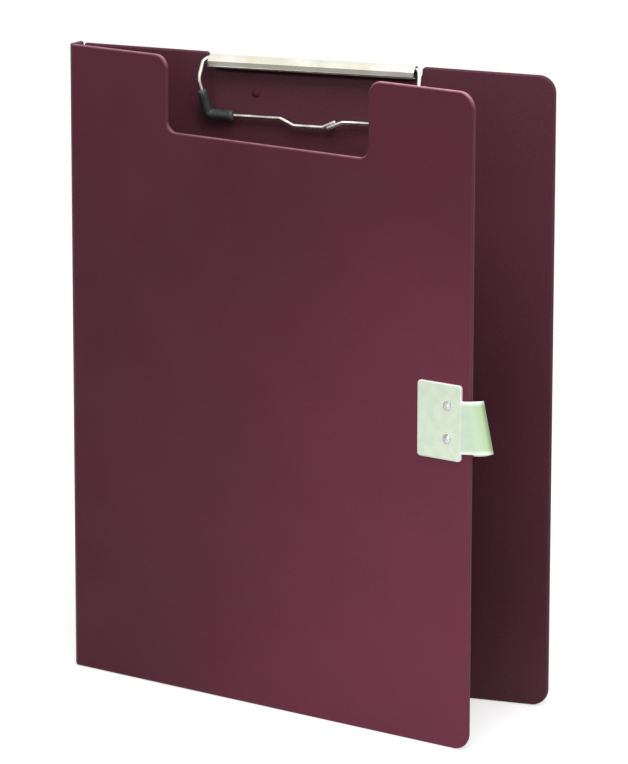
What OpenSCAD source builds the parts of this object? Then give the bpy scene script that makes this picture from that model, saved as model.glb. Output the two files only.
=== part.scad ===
// Folding two-panel clipboard for A4 sheets: a back board and a front cover joined by a spine,
// with a sprung wire clip at the top edge of the back board and a pen loop on the free edge of
// the cover. It stands on its bottom edges with the cover part open.
// X runs from the spine to the free edges, -Y faces the reader and +Z is up. The origin is the
// middle of the back board's bottom edge. All sizes are in millimetres.

/* [Panels] */
// Width of each panel, from its fold line to its free edge
panel_w = 245; // [150:1:340]
// Height of the cover and the spine
panel_h = 318; // [250:1:460]
// How far the cover's top edge stands above the back board's
cover_rise = 3; // [0:0.5:6]
// Thickness of the panels
panel_t = 2.5; // [2:0.1:3.5]
// Radius of the two free corners of each panel
corner_r = 8.5; // [4:0.5:20]
// Distance between the two fold lines of the spine
spine_pitch = 12; // [11.5:0.5:24]
// Angle between the cover and the back board as it stands
opening_angle = 17.5; // [12:0.5:90]

/* [Folds] */
// Distance from a fold line to the centre of the rounded panel edge beside it
fold_setback = 2.0; // [1.9:0.05:2.8]
// Gap between the thin web on the fold line and the panel edges
fold_gap = 0.05; // [0.03:0.01:0.1]

/* [Cover notch] */
// Width of the notch that clears the clip
notch_w = 122.6; // [118:0.2:140]
// Depth of the notch below the top edge
notch_depth = 37.5; // [34:0.5:60]
// Distance of the notch's middle from the middle of the cover, towards the spine
notch_shift = -0.3; // [-1:0.1:1]
// Radius of the notch's lower corners
notch_inner_r = 5.5; // [2:0.5:10]
// Radius of the notch's upper corners
notch_outer_r = 7; // [2:0.5:12]

/* [Board recess] */
// Width of the recess in the back board's top edge
recess_w = 110; // [108:0.5:130]
// Depth of the recess below the top edge
recess_depth = 7.5; // [6:0.5:14]
// Radius of the recess's lower corners
recess_inner_r = 2.5; // [1:0.5:5]
// Radius of the recess's upper corners
recess_outer_r = 2; // [1:0.5:6]

/* [Clip base] */
// Length of the folded steel clip base
base_w = 106.4; // [90:0.2:107]
// How far the clip base stands above the back board's top edge
clip_rise = 1; // [0:0.1:2]
// Thickness of the steel sheet
sheet_t = 0.8; // [0.5:0.1:1]
// How far the base reaches down the back board's rear face
base_leg = 26; // [22:0.5:40]
// How far the channel stands in front of the back board's front face
channel_reach = 7.8; // [7:0.1:9]
// Height of the channel's front wall
channel_wall = 3.5; // [3.4:0.1:5]
// Drop of the channel's arched top from its ridge to the front wall
channel_drop = 3; // [2.6:0.1:3.4]
// Drop of the arched top from its ridge to the rear leg
channel_rear_drop = 3.6; // [3:0.1:5]
// Width of the lip folded back under the channel
channel_lip = 3; // [2:0.1:4]
// Centreline radius of the folds in the sheet
sheet_bend_r = 0.9; // [0.8:0.1:1.2]

/* [Wire clip] */
// Diameter of the clip wire
wire_d = 2; // [1.6:0.1:2.4]
// Running clearance between the wire and the holes that carry it
axle_clearance = 0.06; // [0.03:0.01:0.1]
// Depth of the wire's axle below the clip base's top
axle_depth = 2.2; // [2.1:0.1:2.6]
// Distance from the back board's front face to the axle
axle_reach = 3.9; // [3.6:0.1:4.2]
// Half the distance between the arms at their shoulders
shoulder_x = 56.1; // [55.5:0.1:58]
// Depth of the shoulders below the clip base's top
shoulder_depth = 3.8; // [3.4:0.1:5]
// Distance from the back board's front face to the shoulders
shoulder_reach = 5.8; // [5:0.1:7]
// Half the distance between the arms where they arch forward
arch_x = 56.8; // [55.5:0.1:58]
// Depth of the arch below the clip base's top
arch_depth = 11.6; // [11:0.1:16]
// Distance from the back board's front face to the arch
arch_reach = 10.2; // [8:0.1:11]
// Half the length of the front wire between its corners
corner_x = 54.7; // [54:0.1:57]
// Depth of the front wire below the clip base's top
front_wire_depth = 30.2; // [27:0.1:31]
// Depth of the finger dip below the front wire
dip_depth = 3.2; // [1:0.1:3.4]
// Distance of the dip's middle from the middle, towards the spine
dip_shift = 2.5; // [0:0.5:5]
// Half the length of the dip's flat bottom
dip_flat = 7.5; // [4:0.5:12]
// Length of each ramp of the dip
dip_ramp = 7; // [6:0.5:12]
// Length over which the two wire ends lie side by side
wire_lap = 8; // [6:0.5:9]
// Bend radius at the wire's corners
wire_corner_r = 3.4; // [3:0.1:4]

/* [Sleeves] */
// Outer diameter of the rubber sleeves
sleeve_d = 5.4; // [4:0.1:6]
// Clearance between a sleeve and the wire inside it
sleeve_clearance = 0.03; // [0.02:0.01:0.1]
// Length of a sleeve up the arm from the corner
sleeve_up = 13.5; // [8:0.5:14]
// Length of a sleeve along the front wire from the corner
sleeve_along = 13.5; // [8:0.5:24]
// Gap between the sleeves and the back board
sleeve_gap = 0.3; // [0.2:0.1:1]

/* [Clip rivets] */
// Distance of each clip rivet from the middle
clip_rivet_x = 30.6; // [20:0.1:45]
// Depth of the clip rivets below the clip base's top
clip_rivet_depth = 19; // [17:0.5:22]
// Diameter of the clip rivets' shanks
clip_rivet_d = 2.8; // [2:0.1:3.2]
// Diameter of the clip rivets' heads
clip_rivet_head_d = 4.4; // [4:0.1:6]
// Height of the clip rivets' domed front heads
clip_rivet_head_h = 0.9; // [0.6:0.1:1.2]

/* [Pen loop plate] */
// Width of the plate on the cover
plate_w = 25.4; // [20:0.2:36]
// Height of the plate
plate_h = 36.8; // [32:0.2:60]
// Thickness of the plate
plate_t = 1.6; // [1.2:0.1:2.2]
// Corner radius of the plate
plate_r = 1.8; // [1:0.1:4]
// Distance from the cover's free edge to the plate
plate_inset = 4.5; // [4:0.1:12]
// Height of the plate's middle above the bottom edge
plate_z = 160; // [60:0.1:240]

/* [Pen loop] */
// Width of the loop's ribbon
ribbon_w = 25.6; // [20:0.2:28]
// Thickness of the ribbon
ribbon_t = 0.9; // [0.6:0.1:1.2]
// Distance from the cover's free edge to the outermost point of the loop
loop_reach = 8.5; // [7:0.1:14]
// Lean of the loop's end fold from the vertical
loop_lean = 13.4; // [0:0.2:15]
// Sideways run of the ribbon against the lean, per millimetre
loop_drift = 0.12; // [0:0.01:0.2]
// Space between the ribbon's two runs at the cover's edge
loop_space = 5.2; // [4.6:0.1:8]
// Space between the ribbon's two runs at the end fold
loop_end_space = 1.5; // [1.4:0.1:4]
// Length of the ribbon's tail on the inside of the cover
tail_length = 18; // [17:0.5:26]

/* [Pen loop rivets] */
// Distance from the plate's outer edge to the rivets
loop_rivet_inset = 8; // [5:0.1:12]
// Distance between the two rivets
loop_rivet_pitch = 16; // [10:0.2:17]
// Diameter of the rivets' shanks
loop_rivet_d = 2.4; // [1.6:0.1:2.8]
// Diameter of the rivets' domed heads
loop_rivet_head_d = 4.6; // [4:0.1:6]
// Height of the rivets' domed heads
loop_rivet_head_h = 1.0; // [0.6:0.1:1.4]
// Outer diameter of the washers inside the cover
washer_d = 6; // [5:0.1:8]
// Thickness of the washers
washer_t = 0.5; // [0.3:0.1:0.8]
// Height of the rivets' set ends on the washers
set_end_h = 0.7; // [0.4:0.1:1]
// Clearance between a rivet's shank and its hole
hole_clearance = 0.05; // [0.03:0.01:0.2]

/* [Hidden] */

panel_colour = [0.38, 0.15, 0.22];
steel_colour = [0.78, 0.77, 0.68];
wire_colour = [0.85, 0.85, 0.83];
rubber_colour = [0.10, 0.13, 0.12];
loop_colour = [0.84, 0.90, 0.82];
rivet_colour = [0.72, 0.74, 0.72];

edge_r = panel_t / 2;
web_r = fold_setback - edge_r - fold_gap;
fold_x = -panel_w / 2;
half_opening = opening_angle / 2;
board_h = panel_h - cover_rise;
front_y = -panel_t / 2;
rear_y = panel_t / 2;
cut = 1;              // how far a cutting shape runs past what it cuts
arc_steps = 6;        // straight steps that stand for one bend of a sheet or ribbon
wire_steps = 6;       // the same for a bend of the wire
wire_sides = 12;      // sides of the wire and its sleeves
$fn = 48;

// Clip measures taken from the panel they sit on
clip_top = board_h + clip_rise;
axle_z = clip_top - axle_depth;
axle_y = front_y - axle_reach;
wire_r = wire_d / 2;
front_wire_y = front_y - sleeve_gap - sleeve_d / 2;
front_wire_z = clip_top - front_wire_depth;
dip_x = [for (x = [-dip_flat - dip_ramp, -dip_flat, dip_flat, dip_flat + dip_ramp]) x - dip_shift];
shoulder_r = 1.8;
arch_r = 4;
dip_r = 3;
swept_r = wire_r - 0.02;                  // the bent stretches end inside the axle's round ends
axle_end = base_w / 2 + 0.1;              // where the straight axle stops
axle_run = base_w / 2 + wire_r + 0.2;     // where it turns into an arm
lap_side = 0.6 * wire_d;                  // how far one wire end steps in front of the other
lap_shift = 1.7 * wire_d;                 // how far its ramp lies beyond the other's
lap_jog = 6;                              // length over which it steps to the front
cheek_inset = 6;                          // from the channel's end to the cheek inside it

// Cover frame: x along the cover from its fold line, -y outwards and z up
plate_right = panel_w - plate_inset;
loop_rivet_u = plate_right - loop_rivet_inset;
loop_rivet_z = [plate_z - loop_rivet_pitch / 2, plate_z + loop_rivet_pitch / 2];
loop_fold_u = panel_w + loop_reach;
loop_fold_z = plate_z - 0.3;
ribbon_outer = plate_t - ribbon_t / 2;    // ribbon's middle above the cover's outer face
ribbon_inner = -panel_t - ribbon_t / 2;   // ribbon's middle where the tail lies on the cover
tail_turn = tan(loop_lean);               // sideways run that brings the tail level again

// ---------------------------------------------------------------- points and bends

function unit(v) = v / norm(v);

// Half the angle between the two lines that meet at b
function half_angle(a, b, c) = acos(unit(a - b) * unit(c - b)) / 2;

// Centre of the arc of radius r that touches both lines
function bend_centre(a, b, c, r) =
    b + unit(unit(a - b) + unit(c - b)) * r / sin(half_angle(a, b, c));

// Where the arc of radius r touches the line from b to a
function touch(a, b, c, r) = b + unit(a - b) * r / tan(half_angle(a, b, c));

// Points along the arc that rounds the corner b
function bend_points(a, b, c, r, steps) =
    let (
        m = bend_centre(a, b, c, r),
        from = touch(a, b, c, r) - m,
        to = touch(c, b, a, r) - m,
        turn = 180 - 2 * half_angle(a, b, c)
    )
    [for (i = [0:steps]) m + (from * sin(turn * (1 - i / steps)) + to * sin(turn * i / steps)) / sin(turn)];

// A polyline whose inner corners are rounded with the radii in r, one for each corner
function rounded(points, r, steps) = concat(
    [points[0]],
    [for (i = [1:len(points) - 2])
        for (p = bend_points(points[i - 1], points[i], points[i + 1], r[i - 1], steps)) p],
    [points[len(points) - 1]]
);

// The same line with a point at least every step
function dense(points, step) = concat(
    [for (i = [0:len(points) - 2])
        let (count = max(1, ceil(norm(points[i + 1] - points[i]) / step)))
        for (k = [0:count - 1]) points[i] + (points[i + 1] - points[i]) * k / count],
    [points[len(points) - 1]]
);

// Direction square to a flat line at its point i, to the left of the way it runs
function side_of(points, i) =
    let (
        before = points[max(i - 1, 0)],
        after = points[min(i + 1, len(points) - 1)],
        along = unit(after - before)
    )
    [-along[1], along[0]];

// Length of the line from its start up to each of its points
function run_lengths(points) =
    [for (i = 0, s = 0; i < len(points);
        s = s + (i + 1 < len(points) ? norm(points[i + 1] - points[i]) : 0), i = i + 1) s];

// ---------------------------------------------------------------- shared shapes

// Direction of the line at its point i
function tangent(points, i) =
    let (
        last = len(points) - 1,
        to = i < last ? unit(points[i + 1] - points[i]) : [0, 0, 0],
        from = i > 0 ? unit(points[i] - points[i - 1]) : [0, 0, 0]
    )
    unit(from + to);

// The part of v that is square to direction t, with length 1
function square_to(v, t) = unit(v - t * (v * t));

// One direction square to the line at each of its points, turning as little as it can
function frames(points) =
    [for (
        i = 0, n = square_to([0.3, 0.9, 0.2], tangent(points, 0));
        i < len(points);
        i = i + 1, n = square_to(n, tangent(points, min(i, len(points) - 1)))
    ) n];

// Rings of points of radius r round the line, one ring after the other
function rings(points, r) =
    let (normals = frames(points))
    [for (i = [0:len(points) - 1], k = [0:wire_sides - 1])
        let (n = normals[i], b = cross(tangent(points, i), n), a = 360 * k / wire_sides)
        points[i] + r * (n * cos(a) + b * sin(a))];

// Walls between rings of points; flip turns them inside out, and first is their first point
function ring_walls(count, first, flip) = [
    for (i = [0:count - 2], k = [0:wire_sides - 1])
        let (
            a = first + i * wire_sides + k,
            b = first + i * wire_sides + (k + 1) % wire_sides,
            c = b + wire_sides,
            d = a + wire_sides
        )
        for (face = flip ? [[a, c, b], [a, d, c]] : [[a, b, c], [a, c, d]]) face
];

// Round solid along a line
module swept_rod(points, r) {
    count = len(points);
    last = (count - 1) * wire_sides;
    polyhedron(
        rings(points, r),
        concat(
            ring_walls(count, 0, true),
            [[for (k = [0:wire_sides - 1]) k]],
            [[for (k = [wire_sides - 1:-1:0]) last + k]]
        )
    );
}

// Round tube along a line
module swept_tube(points, r, bore_r) {
    count = len(points);
    size = count * wire_sides;
    rims = [
        for (end = [0, size - wire_sides], k = [0:wire_sides - 1])
            let (
                a = end + k,
                b = end + (k + 1) % wire_sides,
                c = b + size,
                d = a + size
            )
            for (face = end == 0 ? [[a, b, c], [a, c, d]] : [[a, c, b], [a, d, c]]) face
    ];
    polyhedron(
        concat(rings(points, r), rings(points, bore_r)),
        concat(ring_walls(count, 0, true), ring_walls(count, size, false), rims)
    );
}

// Sheet of thickness t along a flat line, drawn in the plane
module folded_sheet_2d(line, t) {
    left = [for (i = [0:len(line) - 1]) line[i] + side_of(line, i) * t / 2];
    right = [for (i = [len(line) - 1:-1:0]) line[i] - side_of(line, i) * t / 2];
    polygon(concat(left, right));
}

module rounded_rect_2d(w, h, r) {
    translate([r, 0]) square([w - 2 * r, h]);
    translate([0, r]) square([w, h - 2 * r]);
    for (x = [r, w - r], y = [r, h - r]) translate([x, y]) circle(r = r);
}

// Open-topped cut-out, centred on x = 0 with its mouth at y = 0
module cutout_2d(w, depth, inner_r, outer_r) {
    translate([-w / 2, -depth]) rounded_rect_2d(w, depth + 2 * inner_r, inner_r);
    for (side = [-1, 1]) {
        difference() {
            translate([side * (w / 2 + outer_r / 2), cut / 2 - outer_r / 2])
                square([outer_r, outer_r + cut], center = true);
            translate([side * (w / 2 + outer_r), -outer_r]) circle(r = outer_r);
        }
    }
}

// Outline of a panel of height h, from the centre of its rounded fold edge to its free edge
module panel_2d(h) {
    difference() {
        translate([fold_setback, 0]) square([panel_w - fold_setback, h]);
        for (z = [0, h - corner_r])
            translate([panel_w - corner_r, z]) square([corner_r + cut, corner_r]);
        translate([panel_w, -cut]) square([cut, h + 2 * cut]);
    }
    for (z = [corner_r, h - corner_r]) translate([panel_w - corner_r, z]) circle(r = corner_r, $fn = 96);
}

// Stands a flat shape up in the XZ plane, with its thickness centred on y = 0
module upright(t) {
    translate([0, t / 2, 0]) rotate([90, 0, 0]) linear_extrude(t) children();
}

module fold_edge(x, y, h) {
    translate([x, y, 0]) cylinder(h = h, r = edge_r);
}

// Dome of base diameter d and height h, standing on z = 0
module dome(d, h) {
    ball_r = (d * d / 4 + h * h) / (2 * h);
    intersection() {
        translate([0, 0, h - ball_r]) sphere(r = ball_r);
        translate([-d / 2, -d / 2, 0]) cube([d, d, h]);
    }
}

// ---------------------------------------------------------------- frames of the panels

module in_rear_fold() {
    translate([fold_x, 0, 0]) children();
}

// x along the back board's plane, turned so that the spine runs along -y
module in_spine() {
    in_rear_fold() rotate([0, 0, -half_opening]) children();
}

module in_front_fold() {
    in_spine() translate([0, -spine_pitch, 0]) children();
}

// x along the cover from its fold line, -y outwards
module in_cover() {
    in_front_fold() rotate([0, 0, -half_opening]) children();
}

// ---------------------------------------------------------------- panels

module back_board() {
    color(panel_colour)
    difference() {
        in_rear_fold() {
            upright(panel_t) difference() {
                panel_2d(board_h);
                translate([panel_w / 2, board_h])
                    cutout_2d(recess_w, recess_depth, recess_inner_r, recess_outer_r);
            }
            fold_edge(fold_setback, 0, board_h);
        }
        clip_rivet_holes();
    }
}

module spine() {
    color(panel_colour)
    in_spine() {
        translate([-edge_r, fold_setback - spine_pitch, 0])
            cube([panel_t, spine_pitch - 2 * fold_setback, panel_h]);
        fold_edge(0, -fold_setback, panel_h);
        fold_edge(0, fold_setback - spine_pitch, panel_h);
    }
}

module front_cover() {
    color(panel_colour)
    in_cover()
    difference() {
        union() {
            upright(panel_t) difference() {
                panel_2d(panel_h);
                translate([panel_w / 2 - notch_shift, panel_h])
                    cutout_2d(notch_w, notch_depth, notch_inner_r, notch_outer_r);
            }
            fold_edge(fold_setback, 0, panel_h);
        }
        loop_rivet_holes();
    }
}

// Thin web that bends on each fold line, as a straight bead on that line
module fold_web(h) {
    cylinder(h = h, r = web_r);
}

module rear_fold_web() {
    color(panel_colour) in_rear_fold() fold_web(board_h);
}

module front_fold_web() {
    color(panel_colour) in_front_fold() fold_web(panel_h);
}

// ---------------------------------------------------------------- clip

module clip_rivet_holes() {
    for (x = [-clip_rivet_x, clip_rivet_x])
        translate([x, rear_y + sheet_t + cut, clip_top - clip_rivet_depth]) rotate([90, 0, 0])
            cylinder(h = panel_t + sheet_t + 2 * cut, d = clip_rivet_d + 2 * hole_clearance);
}

// Section of the sheet's middle in (y, z): rear leg, arched top, front wall and lip; the corner
// of the ridge lies above the sheet, which passes under it in a wide bend
function base_line() =
    let (
        rear = rear_y + sheet_t / 2,
        top = clip_top - sheet_t / 2,
        ridge = [axle_y + 0.25, top + 0.6],
        front = front_y - channel_reach + sheet_t / 2,
        brow = top - channel_drop
    )
    rounded([
        [rear, board_h - base_leg],
        [rear, top - channel_rear_drop],
        ridge,
        [front, brow],
        [front, brow - channel_wall + sheet_t],
        [front + channel_lip, brow - channel_wall + sheet_t]
    ], [1.2, 3, 1, sheet_bend_r], arc_steps);

// Space inside the channel that a cheek closes, drawn in (y, z)
module cheek_2d() {
    arch = [for (p = base_line()) if (p[0] < axle_y + 2.2) p];
    polygon(concat(arch, [[arch[0][0], arch[len(arch) - 1][1]]]));
}

module clip_base() {
    color(steel_colour)
    difference() {
        union() {
            translate([-base_w / 2, 0, 0]) rotate([90, 0, 90])
                linear_extrude(base_w) folded_sheet_2d(base_line(), sheet_t);
            for (x = [cheek_inset - base_w / 2, base_w / 2 - cheek_inset - sheet_t])
                translate([x, 0, 0]) rotate([90, 0, 90]) linear_extrude(sheet_t) cheek_2d();
        }
        translate([-base_w, axle_y, axle_z]) rotate([0, 90, 0])
            cylinder(h = 2 * base_w, r = wire_r + axle_clearance);
        clip_rivet_holes();
    }
}

// Rivets that hold the clip base, with domed heads in the board's colour on the front
module clip_rivets() {
    color(panel_colour)
    for (x = [-clip_rivet_x, clip_rivet_x])
        translate([x, 0, clip_top - clip_rivet_depth]) rotate([90, 0, 0]) {
            translate([0, 0, -front_y]) dome(clip_rivet_head_d, clip_rivet_head_h);
            translate([0, 0, front_y - sheet_t])
                cylinder(h = panel_t + sheet_t, d = clip_rivet_d);
            translate([0, 0, front_y - sheet_t - set_end_h])
                cylinder(h = set_end_h, d = clip_rivet_head_d);
        }
}

// The bend points of one arm, from the axle to the corner; side is -1 on the left
function arm_points(side) = [
    [side * axle_run, axle_y, axle_z],
    [side * shoulder_x, front_y - shoulder_reach, clip_top - shoulder_depth],
    [side * arch_x, front_y - arch_reach, clip_top - arch_depth],
    [side * corner_x, front_wire_y, front_wire_z]
];

// The wire from inside the axle, down one arm and along the front, to its end at the dip
module wire_half(side, front, bends) {
    arm = arm_points(side);
    points = concat([[side * (axle_end - cut), axle_y, axle_z]], arm, front);
    swept_rod(rounded(points, concat([shoulder_r, shoulder_r, arch_r, wire_corner_r], bends), wire_steps), swept_r);
}

// One closed loop of wire; its two ends lie side by side, welded, on a ramp of the finger dip
module clip_wire() {
    dip_z = front_wire_z - dip_depth;
    lap_y = front_wire_y - lap_side;
    color(wire_colour) {
        translate([-axle_end, axle_y, axle_z]) rotate([0, 90, 0]) cylinder(h = 2 * axle_end, r = wire_r);
        wire_half(-1, [
            [dip_x[0], front_wire_y, front_wire_z],
            [dip_x[1], front_wire_y, dip_z],
            [dip_x[2], front_wire_y, dip_z],
            [dip_x[3], front_wire_y, front_wire_z]
        ], [dip_r, dip_r, dip_r]);
        wire_half(1, [
            [dip_x[3] + lap_shift + lap_jog, front_wire_y, front_wire_z],
            [dip_x[3] + lap_shift, lap_y, front_wire_z],
            [dip_x[3] + lap_shift - wire_lap, lap_y, front_wire_z - dip_depth * wire_lap / dip_ramp]
        ], [dip_r, dip_r]);
    }
}

// Rubber sleeve over one corner of the wire
module sleeve(side) {
    arm = arm_points(side);
    top = arm[3] + unit(arm[2] - arm[3]) * sleeve_up;
    tip = arm[3] - [side * sleeve_along, 0, 0];
    color(rubber_colour)
    swept_tube(
        rounded([top, arm[3], tip], [wire_corner_r], wire_steps),
        sleeve_d / 2, wire_r + sleeve_clearance
    );
}

module left_sleeve() {
    sleeve(-1);
}

module right_sleeve() {
    sleeve(1);
}

// ---------------------------------------------------------------- pen loop

// Stands on the cover's outer face at (u, z), with z outwards
module on_cover_face(u, z) {
    in_cover() translate([u, front_y, z]) rotate([90, 0, 0]) children();
}

// Used inside the cover's own frame
module loop_rivet_holes() {
    for (z = loop_rivet_z)
        translate([loop_rivet_u, rear_y + cut + ribbon_t + washer_t, z]) rotate([90, 0, 0])
            cylinder(
                h = panel_t + plate_t + ribbon_t + washer_t + 2 * cut,
                d = loop_rivet_d + 2 * hole_clearance
            );
}

module loop_plate() {
    color(loop_colour)
    difference() {
        on_cover_face(plate_right - plate_w, plate_z - plate_h / 2)
            linear_extrude(plate_t) rounded_rect_2d(plate_w, plate_h, plate_r);
        in_cover() loop_rivet_holes();
    }
}

// Middle line of the ribbon in (p, w): p runs from the end fold towards the free side, square to
// the fold, and w is the height above the cover's outer face
function loop_line() =
    let (
        fold_p = -ribbon_t / 2,
        mid_w = -panel_t / 2 - 0.9,
        fold_half = (loop_end_space + ribbon_t) / 2,
        wide_w = ribbon_outer - loop_space - ribbon_t,
        root_p = -(loop_reach + plate_inset) / cos(loop_lean) - tail_turn * ribbon_w / 2 - cut
    )
    [
        [root_p, ribbon_outer],
        [1.8 - loop_reach, ribbon_outer],
        [fold_p, mid_w + fold_half],
        [fold_p, mid_w - fold_half],
        [-loop_reach - 0.2, wide_w],
        [-loop_reach - 6.2, ribbon_inner],
        [-loop_reach - 6.2 - tail_length, ribbon_inner]
    ];

// Sideways place of the ribbon's middle at run x from the end fold, positive on the inner side:
// it drifts steadily, then swings over 8 mm to run level along the tail
function ribbon_drift(x) =
    let (
        swing_from = 5,
        swing = 8,
        gain = (loop_drift + tail_turn) / swing,
        inside = min(max(x - swing_from, 0), swing),
        beyond = max(x - swing_from - swing, 0)
    )
    -loop_drift * x + gain * inside * inside / 2 + (loop_drift + tail_turn) * beyond;

// The ribbon as one closed solid; each station of its middle line gives four corners
module ribbon_solid() {
    line = dense(rounded(loop_line(), [10, 1.1, 1.1, 3, 3], arc_steps), 2.5);
    runs = run_lengths(line);
    furthest = max([for (p = line) p[0]]);
    fold_runs = [for (i = [0:len(line) - 1]) if (line[i][0] > furthest - 0.001) runs[i]];
    fold_run = (fold_runs[0] + fold_runs[len(fold_runs) - 1]) / 2;
    count = len(line);
    corners = [
        for (i = [0:count - 1])
            let (side = side_of(line, i), drift = ribbon_drift(runs[i] - fold_run))
            for (c = [[1, 1], [1, -1], [-1, -1], [-1, 1]])
                let (flat = line[i] + side * c[0] * ribbon_t / 2)
                [flat[0], drift + c[1] * ribbon_w / 2, flat[1]]
    ];
    walls = [
        for (i = [0:count - 2], k = [0:3])
            let (a = 4 * i + k, b = 4 * i + (k + 1) % 4)
            for (face = [[a, b, b + 4], [a, b + 4, a + 4]]) face
    ];
    last = 4 * (count - 1);
    ends = [[0, 2, 1], [0, 3, 2], [last, last + 1, last + 2], [last, last + 2, last + 3]];
    on_cover_face(loop_fold_u, loop_fold_z) rotate([0, 0, loop_lean]) polyhedron(corners, concat(walls, ends));
}

module pen_loop() {
    color(loop_colour)
    difference() {
        ribbon_solid();
        // the outer run starts square at the plate's edge
        on_cover_face(0, 0) translate([0, 0, -panel_t / 2]) cube([plate_right, panel_h, panel_t + plate_t]);
        in_cover() loop_rivet_holes();
    }
}

module loop_rivets() {
    stack = panel_t + ribbon_t + washer_t;
    color(rivet_colour)
    for (z = loop_rivet_z)
        on_cover_face(loop_rivet_u, z) {
            translate([0, 0, plate_t]) dome(loop_rivet_head_d, loop_rivet_head_h);
            translate([0, 0, -stack]) cylinder(h = stack + plate_t, d = loop_rivet_d);
            translate([0, 0, -stack - set_end_h]) cylinder(h = set_end_h, d = loop_rivet_head_d - 0.6);
        }
}

module loop_washers() {
    color(rivet_colour)
    for (z = loop_rivet_z)
        on_cover_face(loop_rivet_u, z)
            translate([0, 0, -panel_t - ribbon_t - washer_t]) difference() {
                cylinder(h = washer_t, d = washer_d);
                translate([0, 0, -cut]) cylinder(h = washer_t + 2 * cut, d = loop_rivet_d + 2 * hole_clearance);
            }
}

back_board();
spine();
front_cover();
rear_fold_web();
front_fold_web();
clip_base();
clip_rivets();
clip_wire();
left_sleeve();
right_sleeve();
loop_plate();
pen_loop();
loop_rivets();
loop_washers();
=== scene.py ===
"""Looks of a folding two-panel A4 clipboard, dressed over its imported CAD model.

Every new piece is a surface worked out with numpy in millimetres, in the frame of the CAD model:
+X runs from the spine to the free edges, -Y faces the reader and +Z is up.
"""

import logging
import math
from collections.abc import Callable
from dataclasses import dataclass, field
from enum import Enum

import bpy
import numpy as np
from mathutils import Matrix, Vector


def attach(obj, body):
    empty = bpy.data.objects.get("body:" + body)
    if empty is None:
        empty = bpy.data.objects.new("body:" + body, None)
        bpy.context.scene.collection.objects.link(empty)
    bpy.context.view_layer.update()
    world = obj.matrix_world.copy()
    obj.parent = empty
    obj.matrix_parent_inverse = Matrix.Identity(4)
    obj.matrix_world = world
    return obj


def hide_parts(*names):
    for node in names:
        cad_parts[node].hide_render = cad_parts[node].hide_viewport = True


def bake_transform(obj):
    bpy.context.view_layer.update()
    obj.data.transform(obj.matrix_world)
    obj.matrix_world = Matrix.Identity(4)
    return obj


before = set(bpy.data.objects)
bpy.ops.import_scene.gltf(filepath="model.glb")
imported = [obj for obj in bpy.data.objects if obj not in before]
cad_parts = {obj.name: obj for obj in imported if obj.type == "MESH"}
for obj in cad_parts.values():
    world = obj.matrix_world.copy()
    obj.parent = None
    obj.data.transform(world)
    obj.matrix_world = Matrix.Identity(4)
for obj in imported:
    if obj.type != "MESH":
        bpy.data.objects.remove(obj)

LOG = logging.getLogger("clipboard")
MM = 0.001
Triple = tuple[float, float, float]
Colour = Triple
Socket = bpy.types.NodeSocket


class Body(Enum):
    """Moving bodies of the CAD model."""

    BOARD = "board"
    SPINE = "spine"
    COVER = "cover"
    BAIL = "bail"


class Side(Enum):
    """Left and right arm of the wire clip, as its sign along X."""

    LEFT = -1
    RIGHT = 1


class Mark(Enum):
    """What a finish reads from a surface's points: how much rubbing and painted highlight they carry, and how
    much painted shade or sheen.
    """

    # rim mark: rubbing on metal and rubber, painted highlight with some rubbing on plastic rims, painted
    # highlight on vinyl edges
    WEAR_AND_HIGHLIGHT = "wear_and_highlight"
    # painted shade on metal and vinyl, and a greyer painted sheen on the plastic's inner faces
    INSIDE = "inside"


# ---------------------------------------------------------------- surfaces as arrays


@dataclass
class Surface:
    """A closed mesh in millimetres.

    Args:
        points: Array (n, 3) of places.
        faces: Index tuples, three or more points each.
        flat: Indices of the faces that stay flat in shading.
        marks: Array (n,) from 0 to 1 for each mark of the surface.
    """

    points: np.ndarray
    faces: list[tuple[int, ...]]
    flat: list[int] = field(default_factory=list)
    marks: dict[Mark, np.ndarray] = field(default_factory=dict)

    def joined(self, other: "Surface") -> "Surface":
        """Returns both surfaces as one mesh, each with its own points."""
        shift, first = len(self.points), len(self.faces)
        return Surface(
            np.vstack([self.points, other.points]),
            self.faces + [tuple(i + shift for i in f) for f in other.faces],
            self.flat + [i + first for i in other.flat],
            {mark: np.concatenate([self.marked(mark), other.marked(mark)]) for mark in Mark},
        )

    def marked(self, mark: Mark) -> np.ndarray:
        """Returns the mark of each point, 0 where none was given."""
        return self.marks.get(mark, np.zeros(len(self.points)))

    def volume(self) -> float:
        """Returns the signed volume: the sum over fans of triangles of a . (b x c) / 6."""
        fans = [(f[0], f[k], f[k + 1]) for f in self.faces for k in range(1, len(f) - 1)]
        a, b, c = self.points[np.array(fans).T]
        return float(np.einsum("ij,ij->i", a, np.cross(b, c)).sum() / 6)

    def outward(self) -> "Surface":
        """Returns the surface with its faces turned outwards."""
        if self.volume() < 0:
            self.faces = [tuple(reversed(f)) for f in self.faces]
        return self

    def to_object(self, name: str, body: Body | None, material: bpy.types.Material) -> bpy.types.Object:
        """Makes the Blender object.

        Args:
            name: Name of the piece.
            body: CAD body that it rides on, or None for a piece that is attached to no body.
            material: Its finish.

        Returns:
            The object, at the origin, with its place in its mesh.
        """
        mesh = bpy.data.meshes.new(name)
        mesh.from_pydata((self.points * MM).tolist(), [], self.faces)
        smooth = np.ones(len(self.faces), bool)
        smooth[self.flat] = False
        mesh.polygons.foreach_set("use_smooth", smooth)
        for mark in Mark:
            values = mesh.attributes.new(mark.value, "FLOAT", "POINT")
            values.data.foreach_set("value", self.marked(mark).astype(np.float32))
        mesh.validate()
        mesh.update()
        piece = bpy.data.objects.new(name, mesh)
        bpy.context.scene.collection.objects.link(piece)
        piece.data.materials.append(material)
        if body is not None:
            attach(piece, body.value)
        return piece


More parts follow.
